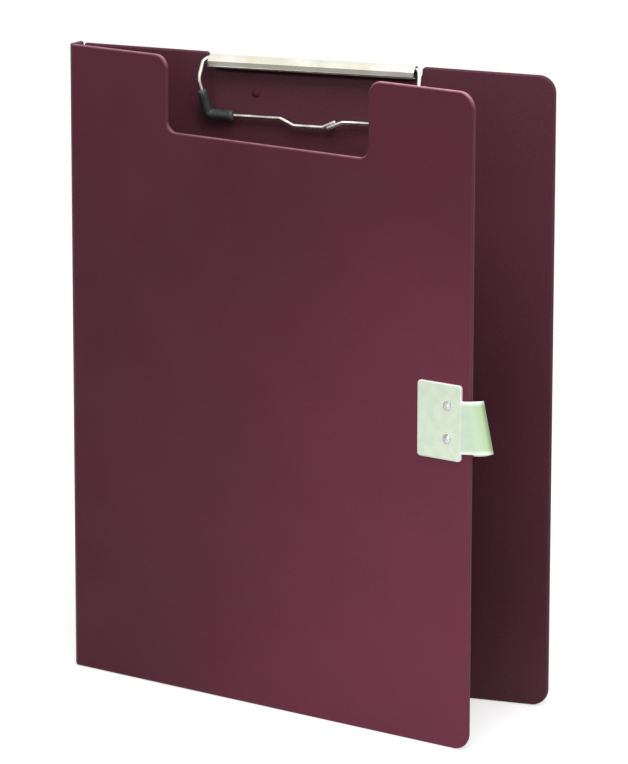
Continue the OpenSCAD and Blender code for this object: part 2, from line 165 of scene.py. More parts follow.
def grid_faces(rows: int, cols: int, close_rows: bool = False) -> list[tuple[int, ...]]:
    """Quads of a grid of points whose index is row * cols + col, closed from its last column to its first.

    Args:
        rows: Number of rows.
        cols: Number of columns.
        close_rows: Whether the last row joins the first.

    Returns:
        The quads as index tuples.
    """
    r = np.arange(rows if close_rows else rows - 1)[:, None]
    c = np.arange(cols)[None, :]
    below, right = (r + 1) % rows, (c + 1) % cols
    quads = np.stack([r * cols + c, r * cols + right, below * cols + right, below * cols + c], axis=-1)
    return [tuple(q) for q in quads.reshape(-1, 4).tolist()]


def end_faces(rings: int, count: int) -> list[tuple[int, ...]]:
    """Returns one many-sided face over the first ring of a grid and one over its last."""
    last = rings * count - 1
    return [tuple(range(count)), tuple(range(last, last - count, -1))]


def tip_fans(rings: int, sides: int) -> list[tuple[int, ...]]:
    """Triangles that close a grid of rings by a point at each end.

    Args:
        rings: Number of rings.
        sides: Points of each ring.

    Returns:
        The triangles as index tuples. Both points follow the grid's own, the first ring's before the last's.
    """
    k = np.arange(sides)
    on, last, tip = (k + 1) % sides, (rings - 1) * sides, np.full(sides, rings * sides)
    near = np.stack([on, k, tip], axis=-1)
    far = np.stack([last + k, last + on, tip + 1], axis=-1)
    return [tuple(f) for f in np.vstack([near, far]).tolist()]


def strip_ends(rings: int, count: int, spans: int, facing: int) -> list[tuple[int, ...]]:
    """Quads across a grid's end rings, each of which runs up one side of a thin strip and down the other.

    Args:
        rings: Number of rings.
        count: Points of each ring.
        spans: Quads across each end.
        facing: Index of the point that faces the ring's first one, as the one before it faces the second.

    Returns:
        The quads as index tuples.
    """
    k = np.arange(spans)
    near = np.stack([k, k + 1, facing - 1 - k, facing - k], axis=-1)
    far = near[:, ::-1] + (rings - 1) * count
    return [tuple(q) for q in np.vstack([near, far]).tolist()]


def unit(v: np.ndarray) -> np.ndarray:
    """Returns the vectors in the last axis with length 1."""
    return v / np.linalg.norm(v, axis=-1, keepdims=True)


def corner_arcs(points: np.ndarray, radii: np.ndarray, steps: int,
                closed: bool) -> tuple[np.ndarray, np.ndarray]:
    """Rounds the corners of a polyline.

    The arc at corner b touches both lines at r / tan(half angle) from b, about a centre on the bisector at
    r / sin(half angle), and its points are the spherical mix of the two touching radii.

    Args:
        points: Array (n, 2) or (n, 3) of corners.
        radii: One radius for each rounded corner: all of them if closed, else all but the two ends.
        steps: Straight steps for each arc.
        closed: Whether the line is a closed outline.

    Returns:
        The line's points, and for each the unit vector from its arc's centre (zero at open ends).
    """
    before = np.roll(points, 1, axis=0) if closed else points[:-2]
    after = np.roll(points, -1, axis=0) if closed else points[2:]
    b = points if closed else points[1:-1]
    back, on = unit(before - b), unit(after - b)
    half = np.arccos(np.clip((back * on).sum(-1), -1, 1)) / 2
    r = np.asarray(radii, float)
    reach = (r / np.tan(half))[:, None]
    centre = b + unit(back + on) * (r / np.sin(half))[:, None]
    start, end = b + back * reach - centre, b + on * reach - centre
    turn = (math.pi - 2 * half)[:, None, None]
    t = np.linspace(0, 1, steps + 1)[None, :, None]
    spokes = (start[:, None] * np.sin(turn * (1 - t)) + end[:, None] * np.sin(turn * t)) / np.sin(turn)
    line = (centre[:, None] + spokes).reshape(-1, points.shape[1])
    spokes = unit(spokes).reshape(-1, points.shape[1])
    if not closed:
        zero = np.zeros((1, points.shape[1]))
        line = np.vstack([points[:1], line, points[-1:]])
        spokes = np.vstack([zero, spokes, zero])
    return line, spokes


def dense_line(points: np.ndarray, step: float) -> np.ndarray:
    """Returns the polyline with a point at least every step, at even shares of each of its lines."""
    lengths = np.linalg.norm(np.diff(points, axis=0), axis=1)
    counts = np.maximum(1, np.ceil(lengths / step)).astype(int)
    index = np.repeat(np.arange(len(counts)), counts)
    first = np.cumsum(counts) - counts
    share = (np.arange(counts.sum()) - first[index]) / counts[index]
    line = points[index] + (points[index + 1] - points[index]) * share[:, None]
    return np.vstack([line, points[-1:]])


def tangents(points: np.ndarray) -> np.ndarray:
    """Returns the unit direction of a polyline at each point, the mean of its neighbouring lines."""
    steps = unit(np.diff(points, axis=0))
    return unit(np.vstack([steps[:1], steps[:-1] + steps[1:], steps[-1:]]))


@dataclass
class Outline:
    """Closed flat outline with rounded corners, run anticlockwise.

    Args:
        corners: Array (n, 2).
        radii: Radius of each corner.
        steps: Straight steps for each corner.
    """

    corners: np.ndarray
    radii: np.ndarray
    steps: int = 10

    def traced(self) -> tuple[np.ndarray, np.ndarray]:
        """Returns the points and their outward unit normals, which point to the centre at a concave corner.
        """
        line, spokes = corner_arcs(self.corners, self.radii, self.steps, closed=True)
        run_in = self.corners - np.roll(self.corners, 1, axis=0)
        run_out = np.roll(self.corners, -1, axis=0) - self.corners
        turn = np.sign(run_in[:, 0] * run_out[:, 1] - run_in[:, 1] * run_out[:, 0])
        return line, spokes * np.repeat(turn, self.steps + 1)[:, None]


def rimmed_slab(outline: Outline, thickness: float, front_r: np.ndarray | float, rear_r: np.ndarray | float,
                rim_highlight_and_wear: float = 1.0, painted_top_highlight: np.ndarray | float = 1.0, steps: int = 6) -> Surface:
    """Slab with rounded rims.

    The rim is a grid: one parameter runs round the outline, the other turns a quarter circle from the rear
    face to the wall and one from the wall to the front face. A point is set in from the outline by
    r (1 - cos) along the outward normal and lies r sin above or below the start of its rim.

    Args:
        outline: Flat outline in (u, v).
        thickness: Thickness, centred on w = 0.
        front_r: Rim radius at the face of positive w, for each outline point or for all.
        rear_r: The same at the other face.
        rim_highlight_and_wear: Painted highlight, with some rubbing, of the rim where it faces down or to a
            side.
        painted_top_highlight: Painted highlight, with some rubbing, of the rim where it faces up, for each
            outline point or for all.
        steps: Straight steps for each quarter circle.

    Returns:
        The closed surface with points (u, v, w).
    """
    line, normals = outline.traced()
    quarter = np.linspace(0, math.pi / 2, steps + 1)
    half = thickness / 2
    rows, heights = [], []
    for radius, angles, side in ((rear_r, quarter[::-1], -1.0), (front_r, quarter, 1.0)):
        r = np.broadcast_to(np.asarray(radius, float), (len(line),))
        inset = r[None] * (1 - np.cos(angles))[:, None]
        rows.append(line[None] - normals[None] * inset[..., None])
        heights.append(side * (half - r[None] + r[None] * np.sin(angles)[:, None]))
    flat = np.concatenate(rows)
    height = np.concatenate(heights)
    points = np.concatenate([flat, height[..., None]], axis=-1).reshape(-1, 3)
    faces = grid_faces(len(flat), len(line)) + end_faces(len(flat), len(line))
    # rim mark: a painted highlight, strongest mid-rim and where the rim faces up, with some rubbing
    lift = np.sin(np.linspace(0, math.pi, len(flat)))
    share = rim_highlight_and_wear + (painted_top_highlight - rim_highlight_and_wear) * np.clip(normals[:, 1], 0, 1)
    wear_and_highlight = (lift[:, None] * share[None]).ravel()
    return Surface(points, faces, [len(faces) - 2, len(faces) - 1], {Mark.WEAR_AND_HIGHLIGHT: wear_and_highlight})


def round_sweep(path: np.ndarray, radii: np.ndarray, sides: int, reference: np.ndarray) -> Surface:
    """Round rod along a path, closed by a point at each end.

    Each ring lies square to the path at radius r about its point. Its first direction is the reference with
    its share along the path taken away, so the rings don't twist.

    Args:
        path: Array (n, 3).
        radii: Radius at each point of the path.
        sides: Points of each ring.
        reference: Direction that the path never runs along.

    Returns:
        The closed surface.
    """
    t = tangents(path)
    n = unit(reference - t * (t @ reference)[:, None])
    b = np.cross(t, n)
    a = np.linspace(0, 2 * math.pi, sides, endpoint=False)[None, :, None]
    rings = path[:, None] + radii[:, None, None] * (n[:, None] * np.cos(a) + b[:, None] * np.sin(a))
    points = np.vstack([rings.reshape(-1, 3), path[:1], path[-1:]])
    return Surface(points, grid_faces(len(path), sides) + tip_fans(len(path), sides))


def rounded_tip(path: np.ndarray, radius: float, steps: int = 5) -> tuple[np.ndarray, np.ndarray]:
    """Draws a rod's last end in over a quarter circle.

    Args:
        path: Array (n, 3) whose last point is the tip's outermost one.
        radius: Radius of the rod.
        steps: Rings for the tip, the outermost of them 12 degrees short of the pole.

    Returns:
        The path with the tip's rings added, and the radius at each point: r cos at r (1 - sin) from the tip.
    """
    angles = np.linspace(0, math.radians(90 - 12), steps)
    depth, share = radius * (1 - np.sin(angles)), radius * np.cos(angles)
    way = unit(path[-2] - path[-1])
    radii = np.concatenate([np.full(len(path) - 1, radius), share])
    return np.vstack([path[:-1], path[-1] + depth[:, None] * way]), radii


def turned(profile: np.ndarray, sides: int, centre: np.ndarray, axis: np.ndarray) -> Surface:
    """Turned solid: a profile of (radius, height) swept round an axis.

    Args:
        profile: Array (n, 2). It is an open line from the axis to the axis, or a closed ring off the axis.
        sides: Points of each ring.
        centre: Where height 0 lies on the axis.
        axis: Direction of positive height.

    Returns:
        The closed surface.
    """
    axis = unit(np.asarray(axis, float))
    side = unit(np.cross(axis, [0.0, 0.0, 1.0]))
    up = np.cross(axis, side)
    a = np.linspace(0, 2 * math.pi, sides, endpoint=False)
    ring = np.cos(a)[:, None] * side + np.sin(a)[:, None] * up
    on_axis = profile[0, 0] < 1e-9
    body = profile[1:-1] if on_axis else profile
    points = centre + body[:, 0, None, None] * ring[None] + body[:, 1, None, None] * axis
    points = points.reshape(-1, 3)
    if not on_axis:
        return Surface(points, grid_faces(len(body), sides, close_rows=True)).outward()
    points = np.vstack([points, centre + profile[0, 1] * axis, centre + profile[-1, 1] * axis])
    return Surface(points, grid_faces(len(body), sides) + tip_fans(len(body), sides)).outward()


def together(shapes: list[Surface]) -> Surface:
    """Returns all the surfaces as one mesh."""
    whole = shapes[0]
    for shape in shapes[1:]:
        whole = whole.joined(shape)
    return whole


def fit(shape: Surface, name: str, node: str, body: Body | None,
        finish: bpy.types.Material) -> bpy.types.Object:
    """Makes a piece in the place of a CAD node.

    Args:
        shape: Its surface.
        name: Name of the piece.
        node: CAD node that it replaces.
        body: Body that it rides on, or None for a piece that is attached to no body.
        finish: Its material.

    Returns:
        The piece.
    """
    piece = shape.to_object(name, body, finish)
    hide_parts(node)
    LOG.info("%s: %d faces", piece.name, len(shape.faces))
    return piece


# ---------------------------------------------------------------- finishes


class Sheet:
    """Adds and links the nodes of one material."""

    def __init__(self, name: str) -> None:
        """Starts the material with its shader and Object coordinates.

        Args:
            name: Name of the material.
        """
        self.material = bpy.data.materials.new(name)
        self.material.use_nodes = True
        self.tree = self.material.node_tree
        self.shader = self.tree.nodes["Principled BSDF"]
        self.place = self.tree.nodes.new("ShaderNodeTexCoord").outputs["Object"]

    def link(self, source: Socket, target: Socket) -> None:
        """Joins two sockets."""
        self.tree.links.new(source, target)

    def stretched(self, scale: Triple) -> Socket:
        """Returns Object coordinates scaled along X, Y and Z."""
        node = self.tree.nodes.new("ShaderNodeMapping")
        node.inputs["Scale"].default_value = scale
        self.link(self.place, node.inputs["Vector"])
        return node.outputs["Vector"]

    def noise(self, scale: float, detail: float = 3.0, place: Socket | None = None) -> Socket:
        """Returns the grey output of a noise texture."""
        node = self.tree.nodes.new("ShaderNodeTexNoise")
        node.inputs["Scale"].default_value = scale
        node.inputs["Detail"].default_value = detail
        self.link(place or self.place, node.inputs["Vector"])
        return node.outputs["Fac"]

    def cells(self, scale: float) -> Socket:
        """Returns the distance output of a soft cell texture."""
        node = self.tree.nodes.new("ShaderNodeTexVoronoi")
        node.feature = "SMOOTH_F1"
        node.inputs["Scale"].default_value = scale
        self.link(self.place, node.inputs["Vector"])
        return node.outputs["Distance"]

    def mapped(self, value: Socket, low: float, high: float, to_low: float = 0.0,
               to_high: float = 1.0) -> Socket:
        """Returns the value carried from one range to another and held inside it."""
        node = self.tree.nodes.new("ShaderNodeMapRange")
        for socket, number in zip(("From Min", "From Max", "To Min", "To Max"), (low, high, to_low, to_high)):
            node.inputs[socket].default_value = number
        self.link(value, node.inputs["Value"])
        return node.outputs["Result"]

    def maths(self, how: str, a: Socket, b: Socket | float) -> Socket:
        """Returns the result of one sum on two values."""
        node = self.tree.nodes.new("ShaderNodeMath")
        node.operation = how
        self.link(a, node.inputs[0])
        if isinstance(b, float):
            node.inputs[1].default_value = b
        else:
            self.link(b, node.inputs[1])
        return node.outputs["Value"]

    def mixed(self, share: Socket, a: Socket | Colour,
              b: Socket | Colour) -> Socket:
        """Returns the colour that goes from a to b with the share."""
        node = self.tree.nodes.new("ShaderNodeMix")
        node.data_type = "RGBA"
        self.link(share, node.inputs[0])
        for end, colour in ((node.inputs[6], a), (node.inputs[7], b)):
            if isinstance(colour, tuple):
                end.default_value = (*colour, 1.0)
            else:
                self.link(colour, end)
        return node.outputs[2]

    def mark(self, mark: Mark) -> Socket:
        """Returns one of the surface's marks."""
        node = self.tree.nodes.new("ShaderNodeAttribute")
        node.attribute_name = mark.value
        return node.outputs["Fac"]

    def bump(self, height: Socket, strength: float, depth: float) -> None:
        """Sets the shader's normal from a height; depth is in metres."""
        node = self.tree.nodes.new("ShaderNodeBump")
        node.inputs["Strength"].default_value = strength
        node.inputs["Distance"].default_value = depth
        self.link(height, node.inputs["Height"])
        self.link(node.outputs["Normal"], self.shader.inputs["Normal"])

    def colour(self, value: Socket) -> None:
        """Sets the shader's colour."""
        self.link(value, self.shader.inputs["Base Color"])

    def roughness(self, value: Socket) -> None:
        """Sets the shader's roughness."""
        self.link(value, self.shader.inputs["Roughness"])

    def preset(self, **values: float | Colour) -> None:
        """Sets uniform values on the shader's own sockets, with _ for each space in a name."""
        for name, value in values.items():
            self.shader.inputs[name.replace("_", " ")].default_value = value


@dataclass(frozen=True)
class GrainedPlastic:
    """Moulded polypropylene with a fine sand grain; its rims carry a pale painted highlight with some
    rubbing.

    Args:
        name: Name of the material.
        tone: Its colour.
        deep: Colour in the hollows of the grain and in darker drifts.
        inner: Its greyer, paler colour on the faces that lie inside: a painted sheen.
        inner_deep: The same in the hollows of their grain.
        rim_highlight_and_wear: Colour of the rims' painted highlight, with some rubbing.
        grain: Cells of the grain per metre.
        clouds: Scale of the drifts in the colour, in the roughness and in the rims' painted highlight, per
            metre.
        contrast: The part of the noise that is spread over the whole range from deep to full colour.
        rough: Least and greatest roughness.
        bumps: Height of the grain in metres.
    """

    name: str = "maroon_plastic"
    tone: Colour = (0.110, 0.0143, 0.0360)
    deep: Colour = (0.087, 0.0115, 0.0277)
    inner: Colour = (0.126, 0.0348, 0.0555)
    inner_deep: Colour = (0.100, 0.0272, 0.0438)
    rim_highlight_and_wear: Colour = (0.740, 0.3400, 0.4500)
    grain: float = 1100.0
    clouds: tuple[float, float, float] = (11.0, 38.0, 160.0)
    contrast: tuple[float, float] = (0.42, 0.58)
    rough: tuple[float, float] = (0.44, 0.58)
    bumps: float = 0.00006

    def build(self) -> bpy.types.Material:
        """Returns the material."""
        s = Sheet(self.name)
        fine = s.noise(self.grain * 1.7, 2.0)
        pits = s.cells(self.grain)
        height = s.maths("ADD", s.maths("MULTIPLY", pits, 0.7), s.maths("MULTIPLY", fine, 0.5))
        drift, haze, rub = self.clouds
        speck = s.maths("MULTIPLY", s.maths("ADD", s.noise(drift, 4.0), fine), 0.5)
        light = s.mapped(speck, *self.contrast)
        outside = s.mixed(light, self.deep, self.tone)
        # faces marked as inside the folder take a greyer painted sheen
        ground = s.mixed(s.mark(Mark.INSIDE), outside, s.mixed(light, self.inner_deep, self.inner))
        # rims take the pale painted highlight, patchy, with some rubbing
        patchy = s.mapped(s.noise(rub, 3.0), 0.35, 0.65, 0.70, 1.0)
        highlight_and_wear = s.maths("MULTIPLY", s.maths("POWER", s.mark(Mark.WEAR_AND_HIGHLIGHT), 1.4), patchy)
        s.colour(s.mixed(highlight_and_wear, ground, self.rim_highlight_and_wear))
        base = s.mapped(s.noise(haze, 4.0), 0.3, 0.7, *self.rough)
        s.roughness(s.maths("SUBTRACT", base, s.maths("MULTIPLY", highlight_and_wear, 0.08)))
        s.bump(height, 0.35, self.bumps)
        s.preset(Specular_IOR_Level=0.24)
        return s.material


@dataclass(frozen=True)
class PlatedMetal:
    """Plated metal with drawn streaks, small pits, brighter edges and a painted dark shade on its marked
    faces.

    Args:
        name: Name of the material.
        tone: Its colour.
        dull: Colour of its duller patches.
        painted_hollow_shade: Dark colour painted on the marked faces: a painted shade inside hollows.
        streaks: Scale of the streaks along X, Y and Z, per metre.
        rough: Least and greatest roughness.
        bumps: Height of the streaks in metres.
        clouds: Scale of the duller patches, per metre.
        pits: Scale of the small pits, per metre.
        polish: How much brighter the polished edges are than the tone.
    """

    name: str
    tone: Colour
    dull: Colour
    streaks: Triple
    rough: tuple[float, float]
    bumps: float = 0.000004
    clouds: float = 70.0
    painted_hollow_shade: Colour = (0.030, 0.030, 0.022)
    pits: float = 2400.0
    polish: float = 1.12

    def build(self) -> bpy.types.Material:
        """Returns the material."""
        s = Sheet(self.name)
        lines = s.noise(1.0, 4.0, s.stretched(self.streaks))
        cloud = s.noise(self.clouds, 3.0)
        ground = s.mixed(s.mapped(cloud, 0.35, 0.65), self.dull, self.tone)
        bright = tuple(min(1.0, c * self.polish) for c in self.tone)
        plated = s.mixed(s.maths("MULTIPLY", s.mark(Mark.WEAR_AND_HIGHLIGHT), 0.6), ground, bright)
        # painted shade: the marked faces go dark
        s.colour(s.mixed(s.mark(Mark.INSIDE), plated, self.painted_hollow_shade))
        mean = s.maths("MULTIPLY", s.maths("ADD", lines, cloud), 0.5)
        s.roughness(s.mapped(mean, 0.35, 0.65, *self.rough))
        s.bump(s.maths("ADD", lines, s.maths("MULTIPLY", s.noise(self.pits, 2.0), 0.4)), 0.4, self.bumps)
        s.preset(Metallic=1.0)
        return s.material


@dataclass(frozen=True)
class SleeveRubber:
    """Matte black rubber with a dusty bloom.

    Args:
        name: Name of the material.
        tone: Its colour.
        bloom: Colour of the dusty patches.
        clouds: Scale of those patches, per metre.
        skin: Scale of the fine pits of its skin, per metre.
        rough: Least and greatest roughness.
        bumps: Height of the pits in metres.
    """

    name: str = "black_rubber"
    tone: Colour = (0.032, 0.040, 0.042)
    bloom: Colour = (0.064, 0.076, 0.078)
    clouds: float = 420.0
    skin: float = 3800.0
    rough: tuple[float, float] = (0.42, 0.62)
    bumps: float = 0.00005

    def build(self) -> bpy.types.Material:
        """Returns the material."""
        s = Sheet(self.name)
        patches = s.noise(self.clouds, 4.0)
        skin = s.noise(self.skin, 2.0)
        dust = s.mapped(patches, 0.42, 0.72, 0.0, 0.8)
        share = s.maths("ADD", dust, s.maths("MULTIPLY", s.mark(Mark.WEAR_AND_HIGHLIGHT), 0.6))
        s.colour(s.mixed(share, self.tone, self.bloom))
        s.roughness(s.mapped(patches, 0.3, 0.7, *self.rough))
        s.bump(s.maths("ADD", skin, s.maths("MULTIPLY", patches, 0.8)), 0.35, self.bumps)
        return s.material


@dataclass(frozen=True)
class PaleVinyl:
    """Pale, slightly see-through vinyl with a soft mottle, a painted shade where it bends away and painted
    highlights on its edges.

    Args:
        name: Name of the material.
        tone: Its colour.
        shade: Its greener tone in the mottle.
        bent: Its darker tone where it is bent over and inside: a painted shade.
        rim: Colour of its bright edges: a painted highlight.
        rough: Least and greatest roughness.
        grain: Scale of the mottle, of the waves and of the fine skin, per metre.
        bumps: Height of the skin in metres.
        depth: How far light of each colour runs inside it, in millimetres.
    """

    name: str
    tone: Colour
    shade: Colour
    bent: Colour
    rim: Colour
    rough: tuple[float, float]
    grain: tuple[float, float, float] = (210.0, 700.0, 2600.0)
    bumps: float = 0.00004
    depth: Triple = (0.72, 0.80, 0.64)

    def build(self) -> bpy.types.Material:
        """Returns the material."""
        s = Sheet(self.name)
        cloud, wave, fine = self.grain
        mottle = s.noise(cloud, 4.0)
        skin = s.noise(fine, 2.0)
        ground = s.mixed(s.mapped(mottle, 0.35, 0.65), self.shade, self.tone)
        # painted shade on the marked part, then a painted highlight on the edges
        ground = s.mixed(s.mark(Mark.INSIDE), ground, self.bent)
        s.colour(s.mixed(s.mark(Mark.WEAR_AND_HIGHLIGHT), ground, self.rim))
        s.roughness(s.mapped(mottle, 0.3, 0.7, *self.rough))
        s.bump(s.maths("ADD", skin, s.maths("MULTIPLY", s.noise(wave, 2.0), 1.5)), 0.3, self.bumps)
        s.preset(Subsurface_Weight=0.12, Subsurface_Radius=self.depth, Subsurface_Scale=MM)
        return s.material


@dataclass(frozen=True)
class Finishes:
    """The object's finishes, each made once."""

    panel: bpy.types.Material
    sheet_steel: bpy.types.Material
    wire: bpy.types.Material
    rubber: bpy.types.Material
    plate: bpy.types.Material
    ribbon: bpy.types.Material
    rivet: bpy.types.Material

    @classmethod
    def make(cls) -> "Finishes":
        """Returns the built finishes."""
        return cls(
            panel=GrainedPlastic().build(),
            sheet_steel=PlatedMetal("nickelled_sheet", (0.98, 0.97, 0.88), (0.84, 0.82, 0.66),
                                    (14, 1900, 1900), (0.24, 0.38)).build(),
            wire=PlatedMetal("nickelled_wire", (0.96, 0.95, 0.92), (0.62, 0.55, 0.46), (300, 300, 300),
                             (0.30, 0.42), clouds=190.0).build(),
            rubber=SleeveRubber().build(),
            plate=PaleVinyl("pale_plate", (0.60, 0.68, 0.56), (0.53, 0.63, 0.49), (0.53, 0.63, 0.49),
                            (1.00, 0.95, 0.94), (0.34, 0.46)).build(),
            ribbon=PaleVinyl("pale_ribbon", (0.53, 0.63, 0.52), (0.49, 0.60, 0.47), (0.36, 0.50, 0.27),
                             (0.80, 0.86, 0.76), (0.42, 0.56)).build(),
            rivet=PlatedMetal("bright_rivet", (0.60, 0.61, 0.60), (0.40, 0.40, 0.40), (500, 500, 500),
                              (0.16, 0.28), clouds=420.0).build(),
        )


# ---------------------------------------------------------------- the folder


@dataclass
class Fold:
    """Geometry of the two folds, as the folder stands part open.

    Args:
        panel_w: Width of each panel from its fold line.
        height: Height of the cover and the spine.
        board_height: Height of the back board.
        thickness: Thickness of the panels.
        pitch: Distance between the fold lines.
        opening: Angle between cover and back board in degrees.
        setback: Distance from a fold line to the middle of the rounded edge beside it.
    """

    panel_w: float = 245.0
    height: float = 318.0
    board_height: float = 315.0
    thickness: float = 2.5
    pitch: float = 12.0
    opening: float = 17.5
    setback: float = 2.0

    @property
    def fold_r(self) -> float:
        """Corner radius beside a fold: a little over half the thickness, so that two rims never meet."""
        return self.thickness / 2 + 0.05

    def turned(self, flat: np.ndarray, degrees: float) -> np.ndarray:
        """Returns (x, y) pairs turned about the origin."""
        a = math.radians(degrees)
        return flat @ np.array([[math.cos(a), math.sin(a)], [-math.sin(a), math.cos(a)]])

    def on_board(self, points: np.ndarray) -> np.ndarray:
        """Carries (u, z, w), with w towards the reader, from the back board's own frame to the model's."""
        return np.stack([points[:, 0] - self.panel_w / 2, -points[:, 2], points[:, 1]], axis=-1)

    def on_spine(self, points: np.ndarray) -> np.ndarray:
        """Carries (u, z, w), with u from the rear to the front fold and w outwards, to the model's frame."""
        flat = self.turned(np.stack([-points[:, 2], -points[:, 0]], axis=-1), -self.opening / 2)
        return np.column_stack([flat[:, 0] - self.panel_w / 2, flat[:, 1], points[:, 1]])

    def on_cover(self, points: np.ndarray) -> np.ndarray:
        """Carries (u, z, w), with w outwards from the cover's mid-plane, to the model's frame."""
        flat = self.turned(np.stack([points[:, 0], -points[:, 2]], axis=-1), -self.opening / 2)
        flat = self.turned(flat + [0.0, -self.pitch], -self.opening / 2)
        return np.column_stack([flat[:, 0] - self.panel_w / 2, flat[:, 1], points[:, 1]])


@dataclass
class Panels:
    """Back board, spine and cover, moulded with soft rims and a full half-round along each fold.

    Args:
        fold: Geometry of the folds.
        corner_r: Radius of the free corners.
        rim_r: Radius of the rims.
        board_rise: How much higher than its height the back board is at its fold.
        board_drop: How much lower it is at its free edge.
        cover_side_highlight_and_wear: Painted highlight, with some rubbing, of the cover's rims that face
            down or to a side.
        spine_highlight_and_wear: The same for the spine, and for its rim that faces up.
        upper_highlight_and_wear: Painted highlight, with some rubbing, of the cover's upper rim at the fold
            and at the free edge.
        notch_highlight_and_wear: Share of that painted highlight in the notch.
        notch_w: Width of the cover's notch.
        notch_depth: Its depth.
        notch_shift: Shift of its middle towards the spine.
        notch_inner_r: Radius of its lower corners.
        notch_outer_r: Radius of its upper corners.
        recess_w: Width of the recess in the back board's top edge.
        recess_depth: Its depth.
        recess_inner_r: Radius of its lower corners.
        recess_outer_r: Radius of its upper corners.
    """

    fold: Fold
    corner_r: float = 8.5
    rim_r: float = 0.95
    board_rise: float = 2.0
    board_drop: float = 1.3
    cover_side_highlight_and_wear: float = 0.08
    spine_highlight_and_wear: tuple[float, float] = (0.08, 0.15)
    upper_highlight_and_wear: tuple[float, float] = (0.66, 1.0)
    notch_highlight_and_wear: float = 0.72
    notch_w: float = 122.6
    notch_depth: float = 37.5
    notch_shift: float = -0.3
    notch_inner_r: float = 5.5
    notch_outer_r: float = 7.0
    recess_w: float = 110.0
    recess_depth: float = 7.5
    recess_inner_r: float = 4.5
    recess_outer_r: float = 2.0

    def outline(self, top: float, cut_w: float, depth: float, shift: float, inner_r: float, outer_r: float,
                rise: float = 0.0, drop: float = 0.0) -> tuple[Outline, np.ndarray]:
        """Panel outline in (u, z), anticlockwise from the foot of its fold edge.

        Args:
            top: Height of the panel.
            cut_w: Width of the cut-out in the top edge.
            depth: Its depth.
            shift: Shift of its middle towards the fold.
            inner_r: Radius of its lower corners.
            outer_r: Radius of its upper corners.
            rise: How much higher than its height the panel is at its fold.
            drop: How much lower it is at its free edge.

        Returns:
            The outline, and the rim radius at each of its points.
        """
        f = self.fold
        left, right = f.setback - f.thickness / 2, f.panel_w
        middle = right / 2 - shift
        a, b, low = middle - cut_w / 2, middle + cut_w / 2, top - depth
        upper = [[u, top - drop + (rise + drop) * (right - u) / (right - left)] for u in (right, b, a, left)]
        corners = np.array([[left, 0], [right, 0], *upper[:2], [b, low], [a, low], *upper[2:]])
        fold_r, free_r = f.fold_r, self.corner_r
        radii = np.array([fold_r, free_r, free_r, outer_r, inner_r, inner_r, outer_r, fold_r])
        shape = Outline(corners, radii, steps=12)
        line, _ = shape.traced()
        return shape, self.rims(line[:, 0] - left)

    def rims(self, from_fold: np.ndarray) -> np.ndarray:
        """Returns the rim radius at these distances from a fold's edge, where it is half the thickness."""
        nearness = np.clip(1 - from_fold / self.fold.fold_r, 0, 1)
        return self.rim_r + (self.fold.thickness / 2 - self.rim_r) * nearness

    def upper_rim_highlight(self, cover: Outline) -> np.ndarray:
        """Returns the painted highlight, with some rubbing, of the cover's upper rims: more towards the free
        edge, and less in the notch.
        """
        line, _ = cover.traced()
        at_fold, at_free = self.upper_highlight_and_wear
        grip = at_fold + (at_free - at_fold) * line[:, 0] / self.fold.panel_w
        in_notch = line[:, 1] < self.fold.height - self.notch_depth / 2
        return np.where(in_notch, self.notch_highlight_and_wear * grip, grip)

    def build(self, finishes: Finishes) -> None:
        """Makes the three panels."""
        f = self.fold
        board, rims = self.outline(f.board_height, self.recess_w, self.recess_depth, 0.0, self.recess_inner_r,
                                   self.recess_outer_r, self.board_rise, self.board_drop)
        slab = rimmed_slab(board, f.thickness, rims, rims, rim_highlight_and_wear=0.0, painted_top_highlight=0.0)
        self.place(slab, f.on_board, "back_board", Body.BOARD, finishes, 1.0)
        cover, rims = self.outline(f.height, self.notch_w, self.notch_depth, self.notch_shift,
                                   self.notch_inner_r, self.notch_outer_r)
        slab = rimmed_slab(cover, f.thickness, rims, rims, self.cover_side_highlight_and_wear, self.upper_rim_highlight(cover))
        self.place(slab, f.on_cover, "front_cover", Body.COVER, finishes, -1.0)
        low, high = f.setback - f.thickness / 2, f.pitch - f.setback + f.thickness / 2
        corners = np.array([[low, 0], [high, 0], [high, f.height], [low, f.height]])
        strip = Outline(corners, np.full(4, f.fold_r), steps=8)
        line, _ = strip.traced()
        rims = self.rims(np.minimum(line[:, 0] - low, high - line[:, 0]))
        slab = rimmed_slab(strip, f.thickness, rims, rims, *self.spine_highlight_and_wear)
        self.place(slab, f.on_spine, "spine", Body.SPINE, finishes, -1.0)

    def place(self, slab: Surface, carry: Callable[[np.ndarray], np.ndarray], node: str, body: Body,
              finishes: Finishes, inner: float) -> None:
        """Puts a slab where its CAD node is.

        Args:
            slab: Surface in the panel's own frame.
            carry: Maps that frame to the model's.
            node: CAD node that it replaces.
            body: Body that it rides on.
            finishes: The object's finishes.
            inner: Sign of w on the face that lies inside the folder.
        """
        # the inner faces take the plastic's greyer painted sheen
        slab.marks[Mark.INSIDE] = np.clip(0.5 + inner * slab.points[:, 2] / self.fold.thickness, 0, 1)
        slab.points = carry(slab.points)
        fit(slab.outward(), f"{node}_moulding", node, body, finishes.panel)


